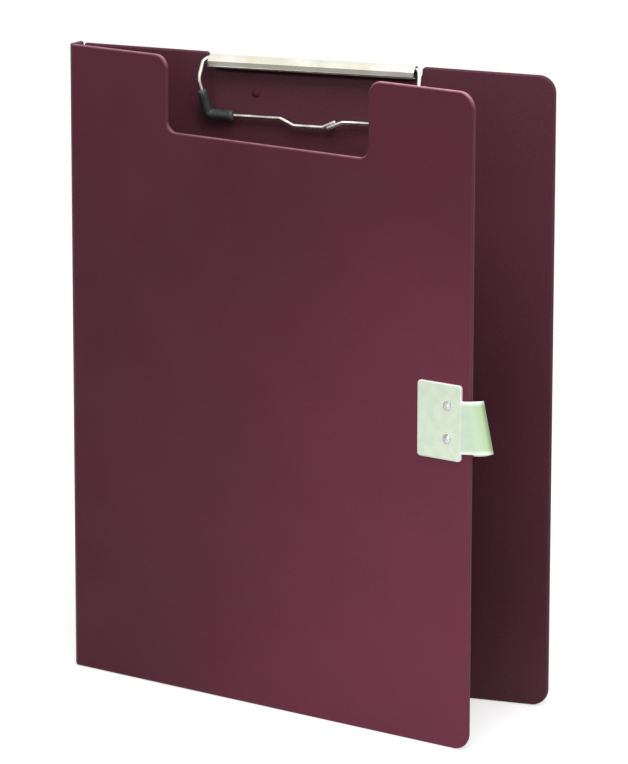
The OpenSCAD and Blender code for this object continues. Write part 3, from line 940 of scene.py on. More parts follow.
@dataclass
class FoldWebs:
    """Thin strips of the same moulding that bend on the two fold lines.

    Args:
        fold: Geometry of the folds.
        thickness: Thickness of a strip.
        reach: How far a strip runs from its fold line on each side.
        end_gap: Distance of its ends from the panels' ends.
        levels: Rows of points along a strip.
    """

    fold: Fold
    thickness: float = 1.3
    reach: float = 1.9
    end_gap: float = 0.2
    levels: int = 41

    def strip(self, start: np.ndarray, corner: np.ndarray, end: np.ndarray, top: float,
              steps: int = 14) -> Surface:
        """Bent strip between two rims.

        Its middle line is the parabola start (1 - t)^2 + 2 corner t (1 - t) + end t^2. Its section is a thin
        slab about that line with pointed edges, and it is extruded along Z.

        Args:
            start: (x, y) inside the first rim.
            corner: (x, y) that draws the bend out.
            end: (x, y) inside the second rim.
            top: Height of the lower of the two panels.
            steps: Straight steps along the bend.

        Returns:
            The closed surface.
        """
        t = np.linspace(0, 1, steps + 1)[:, None]
        line = start * (1 - t) ** 2 + 2 * corner * t * (1 - t) + end * t ** 2
        way = tangents(line)
        side = np.column_stack([-way[:, 1], way[:, 0]])
        half = self.thickness / 2
        section = np.vstack([line + side * half, line[-1:] + way[-1:] * half, line[::-1] - side[::-1] * half,
                             line[:1] - way[:1] * half])
        count, facing = len(section), 2 * steps + 2
        heights = np.linspace(self.end_gap, top - self.end_gap, self.levels)[:, None, None]
        points = np.concatenate([np.broadcast_to(section, (self.levels, count, 2)),
                                 np.broadcast_to(heights, (self.levels, count, 1))], axis=-1)
        faces = grid_faces(self.levels, count) + strip_ends(self.levels, count, steps, facing)
        # a triangle closes either tip of each end, where the strip's edge is drawn out to a point
        tips = np.array([[steps, steps + 1, steps + 2], [facing, facing + 1, 0]])
        tips = np.vstack([tips, tips[:, ::-1] + (self.levels - 1) * count])
        faces += [tuple(f) for f in tips.tolist()]
        return Surface(points.reshape(-1, 3), faces).outward()

    def build(self, finishes: Finishes) -> None:
        """Makes both strips, each laid between the bodies that its fold joins and attached to none."""
        f, reach = self.fold, self.reach
        ends = {
            "rear_fold_web": (f.on_board, reach, f.on_spine, reach, 0.0, f.board_height),
            "front_fold_web": (f.on_spine, f.pitch - reach, f.on_cover, reach, f.pitch, f.height),
        }
        for node, (carry_a, u_a, carry_b, u_b, u_line, top) in ends.items():
            start = carry_a(np.array([[u_a, top / 2, 0.0]]))[0]
            end = carry_b(np.array([[u_b, top / 2, 0.0]]))[0]
            corner = f.on_spine(np.array([[u_line, 0.0, 0.0]]))[0]
            web = self.strip(start[:2], corner[:2], end[:2], top)
            piece = fit(web, f"{node}_strip", node, None, finishes.panel)
            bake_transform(piece)


@dataclass
class ClipBase:
    """Folded steel clip base: a rear leg, a channel over the top edge, and a cheek inside each end.

    Args:
        width: Length along X.
        sheet_t: Thickness of the sheet.
        edge_r: Radius of the sheet's edges.
        leg_foot: Height of the leg's lower edge.
        rear: Middle of the leg along Y, and its height where it bends forwards.
        ridge: Corner in (y, z) that the arched top passes under in a wide bend.
        front_y: Middle of the front wall.
        brow_z: Middle of the sheet at the front corner.
        foot_z: Middle of the lip under the channel.
        lip_y: Where the lip ends.
        axle: Middle of the axle in (y, z).
        axle_hole_r: Radius of the cheeks' holes.
        cheek_inset: From the channel's end to the cheek inside it.
        cheek_corners: Corners of a cheek in (y, z).
        cheek_points: Points of its outline.
        bends: Radii of the sheet's four bends.
        rows: Rows of points along the channel between its rounded ends.
        shade: How dark the front wall is painted: a painted reflection of the dark panels.
    """

    width: float = 106.4
    sheet_t: float = 0.8
    edge_r: float = 0.22
    leg_foot: float = 289.0
    rear: tuple[float, float] = (1.65, 312.0)
    ridge: tuple[float, float] = (-4.9, 316.2)
    front_y: float = -8.65
    brow_z: float = 312.6
    foot_z: float = 309.9
    lip_y: float = -5.65
    axle: tuple[float, float] = (-5.15, 313.8)
    axle_hole_r: float = 1.06
    cheek_inset: float = 6.0
    cheek_corners: tuple[tuple[float, float], ...] = (
        (-3.2, 315.0), (-4.9, 315.4), (-6.4, 314.6), (-8.5, 312.6), (-8.5, 310.0), (-3.2, 310.0))
    cheek_points: int = 64
    bends: tuple[float, float, float, float] = (1.2, 3.0, 1.0, 0.9)
    rows: int = 11
    shade: float = 0.62

    def section_line(self) -> np.ndarray:
        """Returns the sheet's middle line in (y, z), bent with the press's radii."""
        points = np.array([[self.rear[0], self.leg_foot], self.rear, self.ridge, [self.front_y, self.brow_z],
                           [self.front_y, self.foot_z], [self.lip_y, self.foot_z]])
        line, _ = corner_arcs(points, np.array(self.bends), 14, closed=False)
        return dense_line(line, 3.0)

    def folded_sheet(self) -> Surface:
        """Sheet swept along X.

        One parameter runs round the section: up one side of the middle line at half the thickness, round its
        end and back down the other side. The other runs along X, where the section thins by r (1 - cos) over
        the last r (1 - sin) at each end, so all edges are rounded.

        Returns:
            The closed surface.
        """
        line = self.section_line()
        way = tangents(line)
        side = np.column_stack([-way[:, 1], way[:, 0]])
        turn = np.linspace(0, math.pi / 2, 5)
        reach = self.width / 2 - self.edge_r + self.edge_r * np.sin(turn)
        x = np.concatenate([-reach[::-1], np.linspace(-reach[0], reach[0], self.rows + 2)[1:-1], reach])
        thin = self.edge_r * (1 - np.cos(turn))
        inset = np.concatenate([thin[::-1], np.zeros(self.rows), thin])
        half = (self.sheet_t / 2 - inset)[:, None, None]
        left = line[None] + side[None] * half
        right = line[None, ::-1] - side[None, ::-1] * half
        for face, foot, end in ((left, 0, -1), (right, -1, 0)):
            face[:, foot] += way[0] * inset[:, None]
            face[:, end] -= way[-1] * inset[:, None]
        section = np.concatenate([left, right], axis=1)
        places = np.broadcast_to(x[:, None, None], (*section.shape[:2], 1))
        points = np.concatenate([places, section], axis=-1).reshape(-1, 3)
        count, n = section.shape[1], len(line)
        faces = grid_faces(len(x), count) + strip_ends(len(x), count, n - 1, count - 1)
        edge = np.zeros((len(x), count))
        edge[:, [0, n - 1, n, count - 1]] = 1.0
        edge[[0, 1, 2, -3, -2, -1]] = 1.0
        # painted shade: the whole inner side goes dark, and the front wall takes a painted reflection
        inner = np.concatenate([np.ones(n), self.front_shade(line)[::-1]])
        inside = np.broadcast_to(inner, (len(x), count)).ravel()
        return Surface(points, faces, marks={Mark.WEAR_AND_HIGHLIGHT: edge.ravel(), Mark.INSIDE: inside}).outward()

    def front_shade(self, line: np.ndarray) -> np.ndarray:
        """Returns the painted shade of the outer side: a painted reflection of the dark panels on the front
        wall, none on its lower bend.
        """
        return self.shade * ((line[:, 0] < self.front_y + 0.12) & (line[:, 1] > self.foot_z + 0.7))

    def cheek(self, side: Side) -> Surface:
        """Flat cheek with the axle's hole: an outline and the hole's circle at equal angles about the axle.

        Args:
            side: End of the channel.

        Returns:
            The closed surface.
        """
        angles = np.linspace(0, 2 * math.pi, self.cheek_points, endpoint=False)
        ray = np.column_stack([np.cos(angles), np.sin(angles)])
        walls = np.array(self.cheek_corners) - self.axle
        ahead = np.roll(walls, -1, axis=0) - walls
        normal = np.column_stack([ahead[:, 1], -ahead[:, 0]])
        normal *= np.sign((walls * normal).sum(-1))[:, None]
        share = (walls * normal).sum(-1)[None] / np.maximum(ray @ normal.T, 1e-6)
        outer = ray * share.min(axis=1)[:, None]
        rings = np.stack([ray * self.axle_hole_r, outer, outer, ray * self.axle_hole_r]) + self.axle
        near = self.width / 2 - self.cheek_inset
        x = side.value * np.array([near, near, near - self.sheet_t, near - self.sheet_t])[:, None, None]
        points = np.concatenate([np.broadcast_to(x, (*rings.shape[:2], 1)), rings], axis=-1).reshape(-1, 3)
        faces = grid_faces(*rings.shape[:2], close_rows=True)
        # the whole cheek takes the painted dark shade
        return Surface(points, faces, list(range(len(faces))), {Mark.INSIDE: np.ones(len(points))}).outward()

    def build(self, finishes: Finishes) -> None:
        """Makes the clip base as one piece."""
        shape = together([self.folded_sheet(), self.cheek(Side.LEFT), self.cheek(Side.RIGHT)])
        fit(shape, "clip_base_channel", "clip_base", Body.BOARD, finishes.sheet_steel)


@dataclass
class WireBail:
    """Sprung wire of the clip with a rubber sleeve on each corner.

    Args:
        wire_r: Radius of the wire.
        top: Height of the clip base's top.
        face_y: The back board's front face.
        axle_y: Middle of the axle along Y.
        axle_depth: Depth of the axle below that top.
        axle_run: Where the axle turns into an arm.
        shoulder: Half width, reach in front of the face and depth of the left shoulder.
        right_shoulder: The same of the right shoulder.
        arch: Half width, reach in front of the face and depth of the arch.
        corner_x: Half width at the corners.
        front_y: Middle of the front wire along Y.
        front_depth: Depth of the front wire.
        bends: Radii at axle, shoulder, arch and corner.
        dip: Depth, half of the flat bottom, and length of a ramp.
        dip_shift: Shift of the dip's middle towards the spine.
        lap: Length of the lap, how far its ramp lies beyond, its step in front and that step's length.
        sleeve_r: Radius of a sleeve at its top end and from the bend on.
        sleeve_up: Length of a sleeve up the arm.
        sleeve_along: Its length along the front wire.
    """

    wire_r: float = 1.0
    top: float = 316.0
    face_y: float = -1.25
    axle_y: float = -5.15
    axle_depth: float = 2.2
    axle_run: float = 54.4
    shoulder: Triple = (56.1, 5.8, 3.8)
    right_shoulder: Triple = (56.1, 7.0, 5.6)
    arch: Triple = (56.8, 10.2, 11.6)
    corner_x: float = 54.7
    front_y: float = -4.25
    front_depth: float = 30.2
    bends: tuple[float, float, float, float] = (1.8, 1.8, 4.0, 3.4)
    dip: Triple = (3.2, 7.5, 7.0)
    dip_shift: float = 2.5
    lap: tuple[float, float, float, float] = (8.0, 3.4, 1.2, 6.0)
    sleeve_r: tuple[float, float] = (2.2, 2.68)
    sleeve_up: float = 13.5
    sleeve_along: float = 13.5

    def arm(self, side: Side) -> np.ndarray:
        """Returns the bend points of one arm, from the axle to the corner."""
        s = side.value
        shoulder = self.shoulder if side is Side.LEFT else self.right_shoulder
        return np.array([
            [s * self.axle_run, self.axle_y, self.top - self.axle_depth],
            [s * shoulder[0], self.face_y - shoulder[1], self.top - shoulder[2]],
            [s * self.arch[0], self.face_y - self.arch[1], self.top - self.arch[2]],
            [s * self.corner_x, self.front_y, self.top - self.front_depth],
        ])

    def half_wire(self, side: Side, front: list[list[float]], bends: list[float]) -> Surface:
        """Wire from the middle of the axle, down one arm and along the front to its rounded end.

        Args:
            side: Which arm.
            front: The rest of the bend points.
            bends: Radii of the bends after the corner.

        Returns:
            The closed surface.
        """
        begin = np.array([[side.value * -0.5, self.axle_y, self.top - self.axle_depth]])
        corners = np.vstack([begin, self.arm(side), np.array(front)])
        line, _ = corner_arcs(corners, np.array([*self.bends, *bends]), 12, closed=False)
        path, radii = rounded_tip(dense_line(line, 4.0), self.wire_r)
        return round_sweep(path, radii, 20, np.array([0.0, 1.0, 0.0])).outward()

    def build_wire(self, finishes: Finishes) -> None:
        """Makes the wire: its two ends lie side by side on a ramp of the finger dip."""
        depth, flat, ramp = self.dip
        z, low = self.top - self.front_depth, self.top - self.front_depth - depth
        middle, end = -self.dip_shift, flat + ramp - self.dip_shift
        run, shift, step, jog = self.lap
        left = self.half_wire(Side.LEFT, [
            [middle - flat - ramp, self.front_y, z],
            [middle - flat, self.front_y, low],
            [middle + flat, self.front_y, low],
            [end, self.front_y, z]], [3.0, 3.0, 3.0])
        right = self.half_wire(Side.RIGHT, [
            [end + shift + jog, self.front_y, z],
            [end + shift, self.front_y - step, z],
            [end + shift - run, self.front_y - step, z - depth * run / ramp]], [3.0, 3.0])
        fit(left.joined(right), "clip_wire_spring", "clip_wire", Body.BAIL, finishes.wire)

    def sleeve(self, side: Side) -> Surface:
        """Rubber sleeve: a ring swept along the corner, stretched thin at its top end, with rolled ends.

        The radius grows evenly from the top end to the bend, with a ripple of 0.6 %, and it draws in over a
        quarter circle at each end down to the wire.

        Args:
            side: Which corner.

        Returns:
            The closed surface.
        """
        arm = self.arm(side)
        top = arm[3] + unit(arm[2] - arm[3]) * self.sleeve_up
        tip = arm[3] - np.array([side.value * self.sleeve_along, 0, 0])
        line, _ = corner_arcs(np.array([top, arm[3], tip]), np.array([self.bends[3]]), 14, closed=False)
        path = dense_line(line, 1.2)
        run = np.concatenate([[0], np.cumsum(np.linalg.norm(np.diff(path, axis=0), axis=1))])
        bend = run[np.argmin(np.linalg.norm(path - arm[3], axis=1))]
        thin, full = self.sleeve_r
        body = np.interp(run, [0, bend], [thin, full]) * (1 + 0.006 * np.sin(run * 2.1))
        rolled = 0.7
        edge = np.clip(np.minimum(run, run[-1] - run) / rolled, 0, 1)
        radii = body - rolled * 0.7 * (1 - np.sqrt(1 - (1 - edge) ** 2))
        lip = 0.25
        after, before = path[0] + unit(path[1] - path[0]) * lip, path[-1] - unit(path[-1] - path[-2]) * lip
        path = np.vstack([path[:1], after, path[1:-1], before, path[-1:]])
        radii = np.concatenate([[thin - 0.62, thin - 0.2], radii[1:-1], [full - 0.2, full - 0.62]])
        shape = round_sweep(path, radii, 28, np.array([0.0, 1.0, 0.0])).outward()
        ends = np.zeros((len(path), 28))
        ends[[0, 1, 2, -3, -2, -1]] = 1.0
        shape.marks[Mark.WEAR_AND_HIGHLIGHT] = np.concatenate([ends.ravel(), [0.0, 0.0]])
        return shape

    def build(self, finishes: Finishes) -> None:
        """Makes the wire and its sleeves."""
        self.build_wire(finishes)
        for side, node in ((Side.LEFT, "left_sleeve"), (Side.RIGHT, "right_sleeve")):
            fit(self.sleeve(side), f"{node}_tube", node, Body.BAIL, finishes.rubber)


@dataclass
class Rivet:
    """Rivet with a domed head, turned about its axis.

    Args:
        head_d: Diameter of the domed head.
        head_h: Its height.
        rim: Height of its edge.
        shank_d: Diameter of the shank.
        stack: Thickness that it clamps.
        set_d: Diameter of the set end.
        set_h: Its height.
        chamfer: Sizes of the set end's chamfer: in its flat face, down its side and at its foot.
        sides: Points of each ring.
    """

    head_d: float
    head_h: float
    rim: float
    shank_d: float
    stack: float
    set_d: float
    set_h: float
    chamfer: tuple[float, float, float] = (0.45, 0.12, 0.05)
    sides: int = 40

    def dome(self, steps: int = 12) -> np.ndarray:
        """Returns the head's profile from its base's edge to the axis: a short rim, then a circle's arc."""
        r, rise = self.head_d / 2, self.head_h - self.rim
        ball = (r * r + rise ** 2) / (2 * rise)
        a = np.linspace(math.asin(min(1.0, r / ball)), 0, steps)
        arc = np.column_stack([ball * np.sin(a), self.head_h - ball + ball * np.cos(a)])
        arc[-1, 0] = 0.0
        return np.vstack([[r - 0.12, 0.0], [r - 0.02, 0.08], arc])

    def placed(self, seat: np.ndarray, axis: np.ndarray) -> Surface:
        """Whole rivet, from the axis at its set end to the axis at its head.

        Args:
            seat: Middle of the head's base.
            axis: Direction from there to the head's top.

        Returns:
            The closed surface.
        """
        face, side, foot = self.chamfer
        r, foot_z, end_z = self.set_d / 2, -self.stack, -self.stack - self.set_h
        back = [[0.0, end_z], [r - face, end_z], [r - side, end_z + side], [r, foot_z - self.set_h / 2],
                [r - foot, foot_z], [self.shank_d / 2, foot_z], [self.shank_d / 2, 0.0]]
        return turned(np.vstack([back, self.dome()]), self.sides, seat, axis)


@dataclass
class ClipRivets:
    """The two rivets that hold the clip base, with heads in the board's colour.

    Args:
        rivet: One of them.
        half_pitch: Distance of each from the middle.
        face_y: The back board's front face, on which the heads seat.
        height: Height of their axes.
    """

    rivet: Rivet = field(default_factory=lambda: Rivet(4.4, 0.9, 0.16, 2.8, 3.3, 4.4, 0.7))
    half_pitch: float = 30.6
    face_y: float = -1.25
    height: float = 297.0

    def build(self, finishes: Finishes) -> None:
        """Makes both rivets as one piece."""
        seats = [np.array([side.value * self.half_pitch, self.face_y, self.height]) for side in Side]
        pair = together([self.rivet.placed(seat, np.array([0.0, -1.0, 0.0])) for seat in seats])
        fit(pair, "clip_rivets_pair", "clip_rivets", Body.BOARD, finishes.panel)


@dataclass
class PenLoop:
    """Vinyl plate on the cover, with a ribbon out of its edge that folds over and returns inside the cover.

    Args:
        fold: Geometry of the folds.
        plate_w: Width of the plate.
        plate_h: Height of the plate.
        plate_t: Thickness of the plate.
        plate_r: Radius of its corners.
        plate_right: Its outer edge along the cover.
        plate_z: Height of its middle.
        ribbon_w: Width of the ribbon.
        ribbon_t: Its thickness.
        reach: Distance from the cover's edge to the end fold.
        lean: Lean of the end fold in degrees.
        drift: Sideways run of the ribbon per millimetre.
        space: Space between the runs at the cover's edge.
        end_space: Space between them at the end fold.
        tail: Length of the tail inside the cover.
        rivet_u: Place of the rivets along the cover.
        rivet_pitch: Distance between them.
        washer_t: Thickness of their washers.
        washer_r: Radius of the washers' hole and of their edge.
        washer_rims: Bevel of that hole and of that edge.
    """

    fold: Fold
    plate_w: float = 25.4
    plate_h: float = 36.8
    plate_t: float = 1.6
    plate_r: float = 1.8
    plate_right: float = 240.5
    plate_z: float = 160.0
    ribbon_w: float = 25.6
    ribbon_t: float = 0.9
    reach: float = 8.5
    lean: float = 13.4
    drift: float = 0.12
    space: float = 5.2
    end_space: float = 1.5
    tail: float = 18.0
    rivet_u: float = 232.5
    rivet_pitch: float = 16.0
    washer_t: float = 0.5
    washer_r: tuple[float, float] = (1.25, 3.0)
    washer_rims: tuple[float, float] = (0.06, 0.1)

    def place(self, points: np.ndarray) -> np.ndarray:
        """Carries (u, z, w), with w above the cover's outer face, to the model's frame."""
        return self.fold.on_cover(points + [0.0, 0.0, self.fold.thickness / 2])

    def plate(self) -> Surface:
        """Returns the plate: a slab with a soft front rim of 0.5 mm and a rear rim of 0.12 mm."""
        right, left = self.plate_right, self.plate_right - self.plate_w
        low, high = self.plate_z - self.plate_h / 2, self.plate_z + self.plate_h / 2
        corners = np.array([[left, low], [right, low], [right, high], [left, high]])
        # its rims take the painted highlight of the edges
        slab = rimmed_slab(Outline(corners, np.full(4, self.plate_r), 10), self.plate_t, 0.5, 0.12)
        slab.points[:, 2] += self.plate_t / 2
        slab.points = self.place(slab.points)
        return slab.outward()

    def ribbon_line(self) -> np.ndarray:
        """Middle line of the ribbon in (p, w).

        p runs out from the cover, square to the end fold, and w is the height above the cover's outer face.
        Straight runs meet in arcs: out from the plate, round the fold, back and in along the inner face.

        Returns:
            Array (n, 2).
        """
        t, half_panel = self.ribbon_t, self.fold.thickness / 2
        outer = self.plate_t - t / 2 - 0.1
        inner = -self.fold.thickness - t / 2
        fold_p, mid, half = -t / 2, -half_panel - 0.9, (self.end_space + t) / 2
        wide = outer - self.space - t
        lean = math.radians(self.lean)
        behind = math.tan(lean) * self.ribbon_w / 2 + 2
        root = -(self.fold.panel_w + self.reach - self.plate_right) / math.cos(lean) - behind
        points = np.array([[root, outer], [1.8 - self.reach, outer], [fold_p, mid + half],
                           [fold_p, mid - half], [-self.reach - 0.2, wide], [-self.reach - 6.2, inner],
                           [-self.reach - 6.2 - self.tail, inner]])
        line, _ = corner_arcs(points, np.array([10, 1.1, 1.1, 3, 3]), 12, closed=False)
        return dense_line(line, 0.8)

    def sideways(self, x: np.ndarray) -> np.ndarray:
        """Sideways place of the ribbon's middle.

        It is -drift x, then a swing whose slope grows evenly over a short stretch until the tail runs level.

        Args:
            x: Run along the ribbon from its end fold.

        Returns:
            The place at each x.
        """
        turn = math.tan(math.radians(self.lean)) + self.drift
        start, stretch = 5, 8
        swing = np.clip(x - start, 0, stretch)
        level = np.clip(x - start - stretch, 0, None)
        return -self.drift * x + turn / stretch * swing ** 2 / 2 + turn * level

    def ribbon(self) -> Surface:
        """Ribbon as a rounded rectangle carried along its middle line.

        One parameter runs along the line, the other round the section: half the width along the fold's lean
        and half the thickness along the line's normal, with edges rounded by 0.3 mm. The outer run starts
        square at the plate, so points behind the plate's edge are drawn along the ribbon to just inside it.

        Returns:
            The closed surface.
        """
        line = self.ribbon_line()
        way = tangents(line)
        side = np.column_stack([-way[:, 1], way[:, 0]])
        run = np.concatenate([[0], np.cumsum(np.linalg.norm(np.diff(line, axis=0), axis=1))])
        furthest = line[:, 0] > line[:, 0].max() - 0.001
        across = self.sideways(run - run[furthest].mean())
        square = np.array([[-1, -1], [1, -1], [1, 1], [-1, 1]])
        section, _ = Outline(square * [self.ribbon_w / 2, self.ribbon_t / 2], np.full(4, 0.3), 5).traced()
        section = dense_line(np.vstack([section, section[:1]]), 2.0)[:-1]
        p = line[:, None, 0] + side[:, None, 0] * section[None, :, 1]
        w = line[:, None, 1] + side[:, None, 1] * section[None, :, 1]
        q = across[:, None] + section[None, :, 0]
        a = math.radians(self.lean)
        fold_u, fold_z = self.fold.panel_w + self.reach, self.plate_z - 0.3
        u = fold_u + p * math.cos(a) - q * math.sin(a)
        z = fold_z + p * math.sin(a) + q * math.cos(a)
        start = self.plate_right - 1.0
        behind = (run < run[furthest].mean())[:, None] & (u < start)
        slope = math.tan(a - math.atan(self.drift))
        z = np.where(behind, z + (start - u) * slope, z)
        u = np.where(behind, start - (start - u) * 0.001, u)
        points = self.place(np.stack([u, z, w], axis=-1).reshape(-1, 3))
        count = len(section)
        faces = grid_faces(len(line), count) + end_faces(len(line), count)
        # the edges take the painted highlight, and the painted shade grows towards the end fold and stays
        # full past it
        rim = np.abs(section[:, 0]) > self.ribbon_w / 2 - 0.31
        wear_and_highlight = np.broadcast_to(rim.astype(float), (len(line), count)).ravel()
        beyond = np.clip((run - run[furthest].mean()) / self.reach + 1.1, 0, 1)
        inside = np.broadcast_to(beyond[:, None], (len(line), count)).ravel()
        marks = {Mark.WEAR_AND_HIGHLIGHT: wear_and_highlight, Mark.INSIDE: inside}
        return Surface(points, faces, [len(faces) - 2, len(faces) - 1], marks).outward()

    def build(self, finishes: Finishes) -> None:
        """Makes the plate, the ribbon, the two rivets and their washers."""
        fit(self.plate(), "loop_plate_moulding", "loop_plate", Body.COVER, finishes.plate)
        fit(self.ribbon(), "pen_loop_ribbon", "pen_loop", Body.COVER, finishes.ribbon)
        stack = self.fold.thickness + self.ribbon_t + self.washer_t
        rivet = Rivet(4.6, 1.0, 0.18, 2.4, stack + self.plate_t, 4.0, 0.7)
        outwards = self.place(np.array([[0.0, 0, 1.0], [0, 0, 0]]))
        axis = outwards[0] - outwards[1]
        rivets, washers = [], []
        for z in (self.plate_z - self.rivet_pitch / 2, self.plate_z + self.rivet_pitch / 2):
            head, foot = self.place(np.array([[self.rivet_u, z, self.plate_t], [self.rivet_u, z, -stack]]))
            rivets.append(rivet.placed(head, axis))
            washers.append(turned(self.washer_ring(), rivet.sides, foot, axis))
        fit(together(rivets), "loop_rivets_pair", "loop_rivets", Body.COVER, finishes.rivet)
        fit(together(washers), "loop_washers_pair", "loop_washers", Body.COVER, finishes.rivet)

    def washer_ring(self) -> np.ndarray:
        """Returns a washer's closed profile of (radius, height), with bevelled corners."""
        (hole, edge), (inner, outer), t = self.washer_r, self.washer_rims, self.washer_t
        return np.array([[hole, inner], [hole + inner, 0], [edge - outer, 0], [edge, outer],
                         [edge, t - outer], [edge - outer, t], [hole + inner, t], [hole, t - inner]])


# ---------------------------------------------------------------- studio


@dataclass
class Studio:
    """White floor, soft sky, a soft lamp overhead and a spot on the cover's lower outer corner.

    Args:
        floor_seen: Colour of the floor as the camera and the metal see it.
        floor_bounce: Its colour for the light that it throws back.
        floor_glow: Strength that is added where it is seen, so that it is white outside the shadow.
        sky_seen: Strength of the sky where it is seen.
        horizon: Strength of its light at the horizon.
        zenith: Strength of its light overhead.
        sky_band: Rise of the directions between which it goes from one to the other.
        floor_half: Half of the floor's side, in metres.
        floor_gap: Distance of the floor under the object, in metres.
        spot_place: Where the spot stands, in metres.
        spot_aim: The point that it faces, the cover's lower outer corner.
        spot_cone: Full angle of its cone in degrees.
        spot_radius: Radius of its bulb, which softens its shadows, in metres.
        spot_power: Its power in watts.
        lamp_place: Where the overhead lamp hangs, in metres.
        lamp_aim: The point that it faces, near the clip.
        lamp_size: Side of its square face in metres.
        lamp_power: Its power in watts.
    """

    floor_seen: Colour = (0.86, 0.86, 0.86)
    floor_bounce: Colour = (0.40, 0.40, 0.40)
    floor_glow: float = 0.47
    sky_seen: float = 1.0
    horizon: float = 0.27
    zenith: float = 0.80
    sky_band: tuple[float, float] = (0.2, 0.85)
    floor_half: float = 9.0
    floor_gap: float = 0.0002
    spot_place: Triple = (-0.05, -0.90, 0.25)
    spot_aim: Triple = (0.155, -0.100, 0.045)
    spot_cone: float = 37.0
    spot_radius: float = 0.06
    spot_power: float = 20.0
    lamp_place: Triple = (0.22, -0.38, 0.85)
    lamp_aim: Triple = (0.08, -0.05, 0.28)
    lamp_size: float = 0.35
    lamp_power: float = 3.2

    def seen(self, tree: bpy.types.NodeTree) -> Socket:
        """Returns 1 for rays from the camera and through or off glossy surfaces, and 0 for light."""
        path = tree.nodes.new("ShaderNodeLightPath")
        total = path.outputs["Is Camera Ray"]
        for ray in ("Is Glossy Ray", "Is Transmission Ray"):
            larger = tree.nodes.new("ShaderNodeMath")
            larger.operation = "MAXIMUM"
            tree.links.new(total, larger.inputs[0])
            tree.links.new(path.outputs[ray], larger.inputs[1])
            total = larger.outputs["Value"]
        return total

    def build_floor(self) -> None:
        """Makes the floor as a large flat sheet just under the object, with a faint mottle."""
        mesh = bpy.data.meshes.new("floor")
        corners = np.array([[-1, -1], [1, -1], [1, 1], [-1, 1]]) * self.floor_half
        mesh.from_pydata(np.column_stack([corners, np.full(4, -self.floor_gap)]).tolist(), [], [(0, 1, 2, 3)])
        floor = bpy.data.objects.new("floor", mesh)
        bpy.context.scene.collection.objects.link(floor)
        s = Sheet("floor_paper")
        lighter = tuple(c * 1.01 for c in self.floor_seen)
        mottle = s.mixed(s.noise(3.0, 2.0), self.floor_seen, lighter)
        seen = self.seen(s.tree)
        unseen = s.mapped(seen, 0.0, 1.0, 1.0, 0.0)
        s.colour(s.mixed(unseen, mottle, self.floor_bounce))
        s.link(s.maths("MULTIPLY", seen, self.floor_glow), s.shader.inputs["Emission Strength"])
        s.preset(Roughness=0.9, Specular_IOR_Level=0.0, Emission_Color=(1.0, 1.0, 1.0, 1.0))
        floor.data.materials.append(s.material)

    def build_sky(self) -> None:
        """Makes the sky: plain white where it is seen, and as a light brighter overhead than low down."""
        world = bpy.data.worlds.new("studio_sky")
        bpy.context.scene.world = world
        world.use_nodes = True
        nodes, links = world.node_tree.nodes, world.node_tree.links
        place = nodes.new("ShaderNodeTexCoord")
        split = nodes.new("ShaderNodeSeparateXYZ")
        rise = nodes.new("ShaderNodeMapRange")
        rise.interpolation_type = "SMOOTHSTEP"
        values = (*self.sky_band, self.horizon, self.zenith)
        for name, value in zip(("From Min", "From Max", "To Min", "To Max"), values):
            rise.inputs[name].default_value = value
        seen = nodes.new("ShaderNodeMix")
        seen.inputs["B"].default_value = self.sky_seen
        links.new(place.outputs["Generated"], split.inputs[0])
        links.new(split.outputs["Z"], rise.inputs["Value"])
        links.new(self.seen(world.node_tree), seen.inputs["Factor"])
        links.new(rise.outputs["Result"], seen.inputs["A"])
        links.new(seen.outputs["Result"], nodes["Background"].inputs["Strength"])
        nodes["Background"].inputs["Color"].default_value = (1, 1, 1, 1)

    def lamp(self) -> None:
        """Adds the square soft lamp overhead."""
        data = bpy.data.lights.new("overhead_lamp", "AREA")
        data.shape, data.size, data.energy = "SQUARE", self.lamp_size, self.lamp_power
        self.hang(data, self.lamp_place, self.lamp_aim)

    def spot(self) -> None:
        """Adds the spot, whose light fades evenly from its middle to the rim of its cone."""
        data = bpy.data.lights.new("corner_spot", "SPOT")
        data.spot_size, data.spot_blend = math.radians(self.spot_cone), 1.0
        data.shadow_soft_size, data.energy = self.spot_radius, self.spot_power
        self.hang(data, self.spot_place, self.spot_aim)

    def hang(self, data: bpy.types.Light, place: Triple, aim: Triple) -> None:
        """Puts a light at a place, turned to the point that it faces."""
        lamp = bpy.data.objects.new(data.name, data)
        lamp.location = place
        lamp.rotation_euler = (Vector(aim) - Vector(place)).to_track_quat("-Z", "Y").to_euler()
        bpy.context.scene.collection.objects.link(lamp)

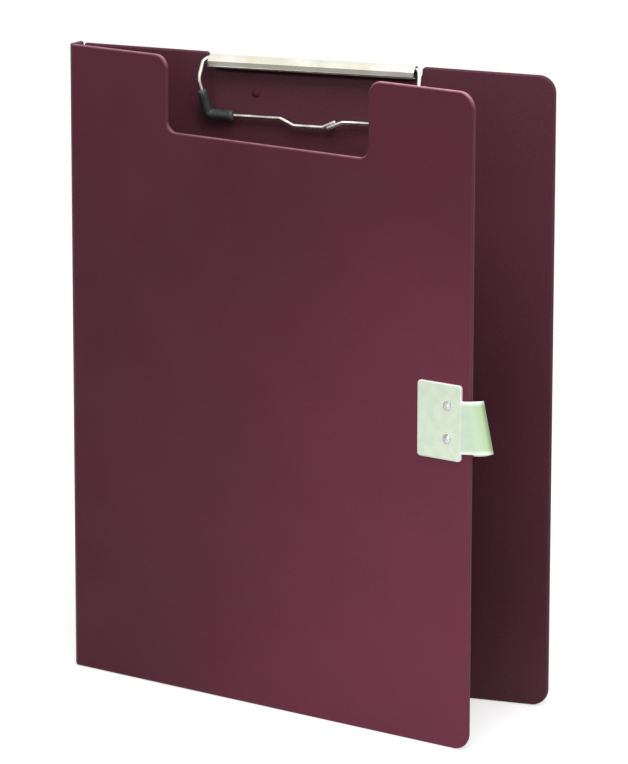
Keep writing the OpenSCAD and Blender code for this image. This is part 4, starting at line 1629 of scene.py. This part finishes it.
    def build(self) -> None:
        """Makes the whole set."""
        self.build_floor()
        self.build_sky()
        self.spot()
        self.lamp()
        bpy.context.scene.view_settings.view_transform = "Standard"


@dataclass
class PhotoCamera:
    """Camera at the photograph's viewing angle.

    Args:
        place: Where it stands, in metres.
        yaw: Turn to the left about the vertical, in degrees.
        pitch: Tilt downwards.
        roll: Turn about its own axis.
        focal_px: Focal length in pixels of the photograph.
        picture_px: Height of the photograph in pixels.
        sensor: Side of the sensor in millimetres.
    """

    place: Triple = (0.7813, -2.1614, 0.6725)
    yaw: float = 19.888
    pitch: float = 12.712
    roll: float = 0.112
    focal_px: float = 4764.0
    picture_px: float = 764.0
    sensor: float = 36.0

    def build(self) -> None:
        """Makes the camera and sets it as the scene's."""
        yaw, pitch, roll = (math.radians(a) for a in (self.yaw, self.pitch, self.roll))
        right = np.array([math.cos(yaw), math.sin(yaw), 0.0])
        ahead = np.array([-math.sin(yaw), math.cos(yaw), 0.0])
        up = np.array([0.0, 0.0, math.cos(pitch)]) + ahead * math.sin(pitch)
        ahead = ahead * math.cos(pitch) - np.array([0.0, 0.0, math.sin(pitch)])
        across = right * math.cos(roll) + up * math.sin(roll)
        above = up * math.cos(roll) - right * math.sin(roll)
        data = bpy.data.cameras.new("photo_camera")
        data.sensor_width = self.sensor
        data.lens = self.focal_px / self.picture_px * self.sensor
        data.clip_end = 50.0
        camera = bpy.data.objects.new("photo_camera", data)
        turn = Matrix([across, above, -ahead]).transposed()
        camera.matrix_world = Matrix.Translation(self.place) @ turn.to_4x4()
        bpy.context.scene.collection.objects.link(camera)
        bpy.context.scene.camera = camera


def main() -> None:
    logging.basicConfig(level=logging.INFO, format="%(message)s")
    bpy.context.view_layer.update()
    PhotoCamera().build()
    Studio().build()
    finishes = Finishes.make()
    fold = Fold()
    Panels(fold).build(finishes)
    FoldWebs(fold).build(finishes)
    ClipBase().build(finishes)
    ClipRivets().build(finishes)
    WireBail().build(finishes)
    PenLoop(fold).build(finishes)
    bpy.context.view_layer.update()


if __name__ == "__main__":
    main()
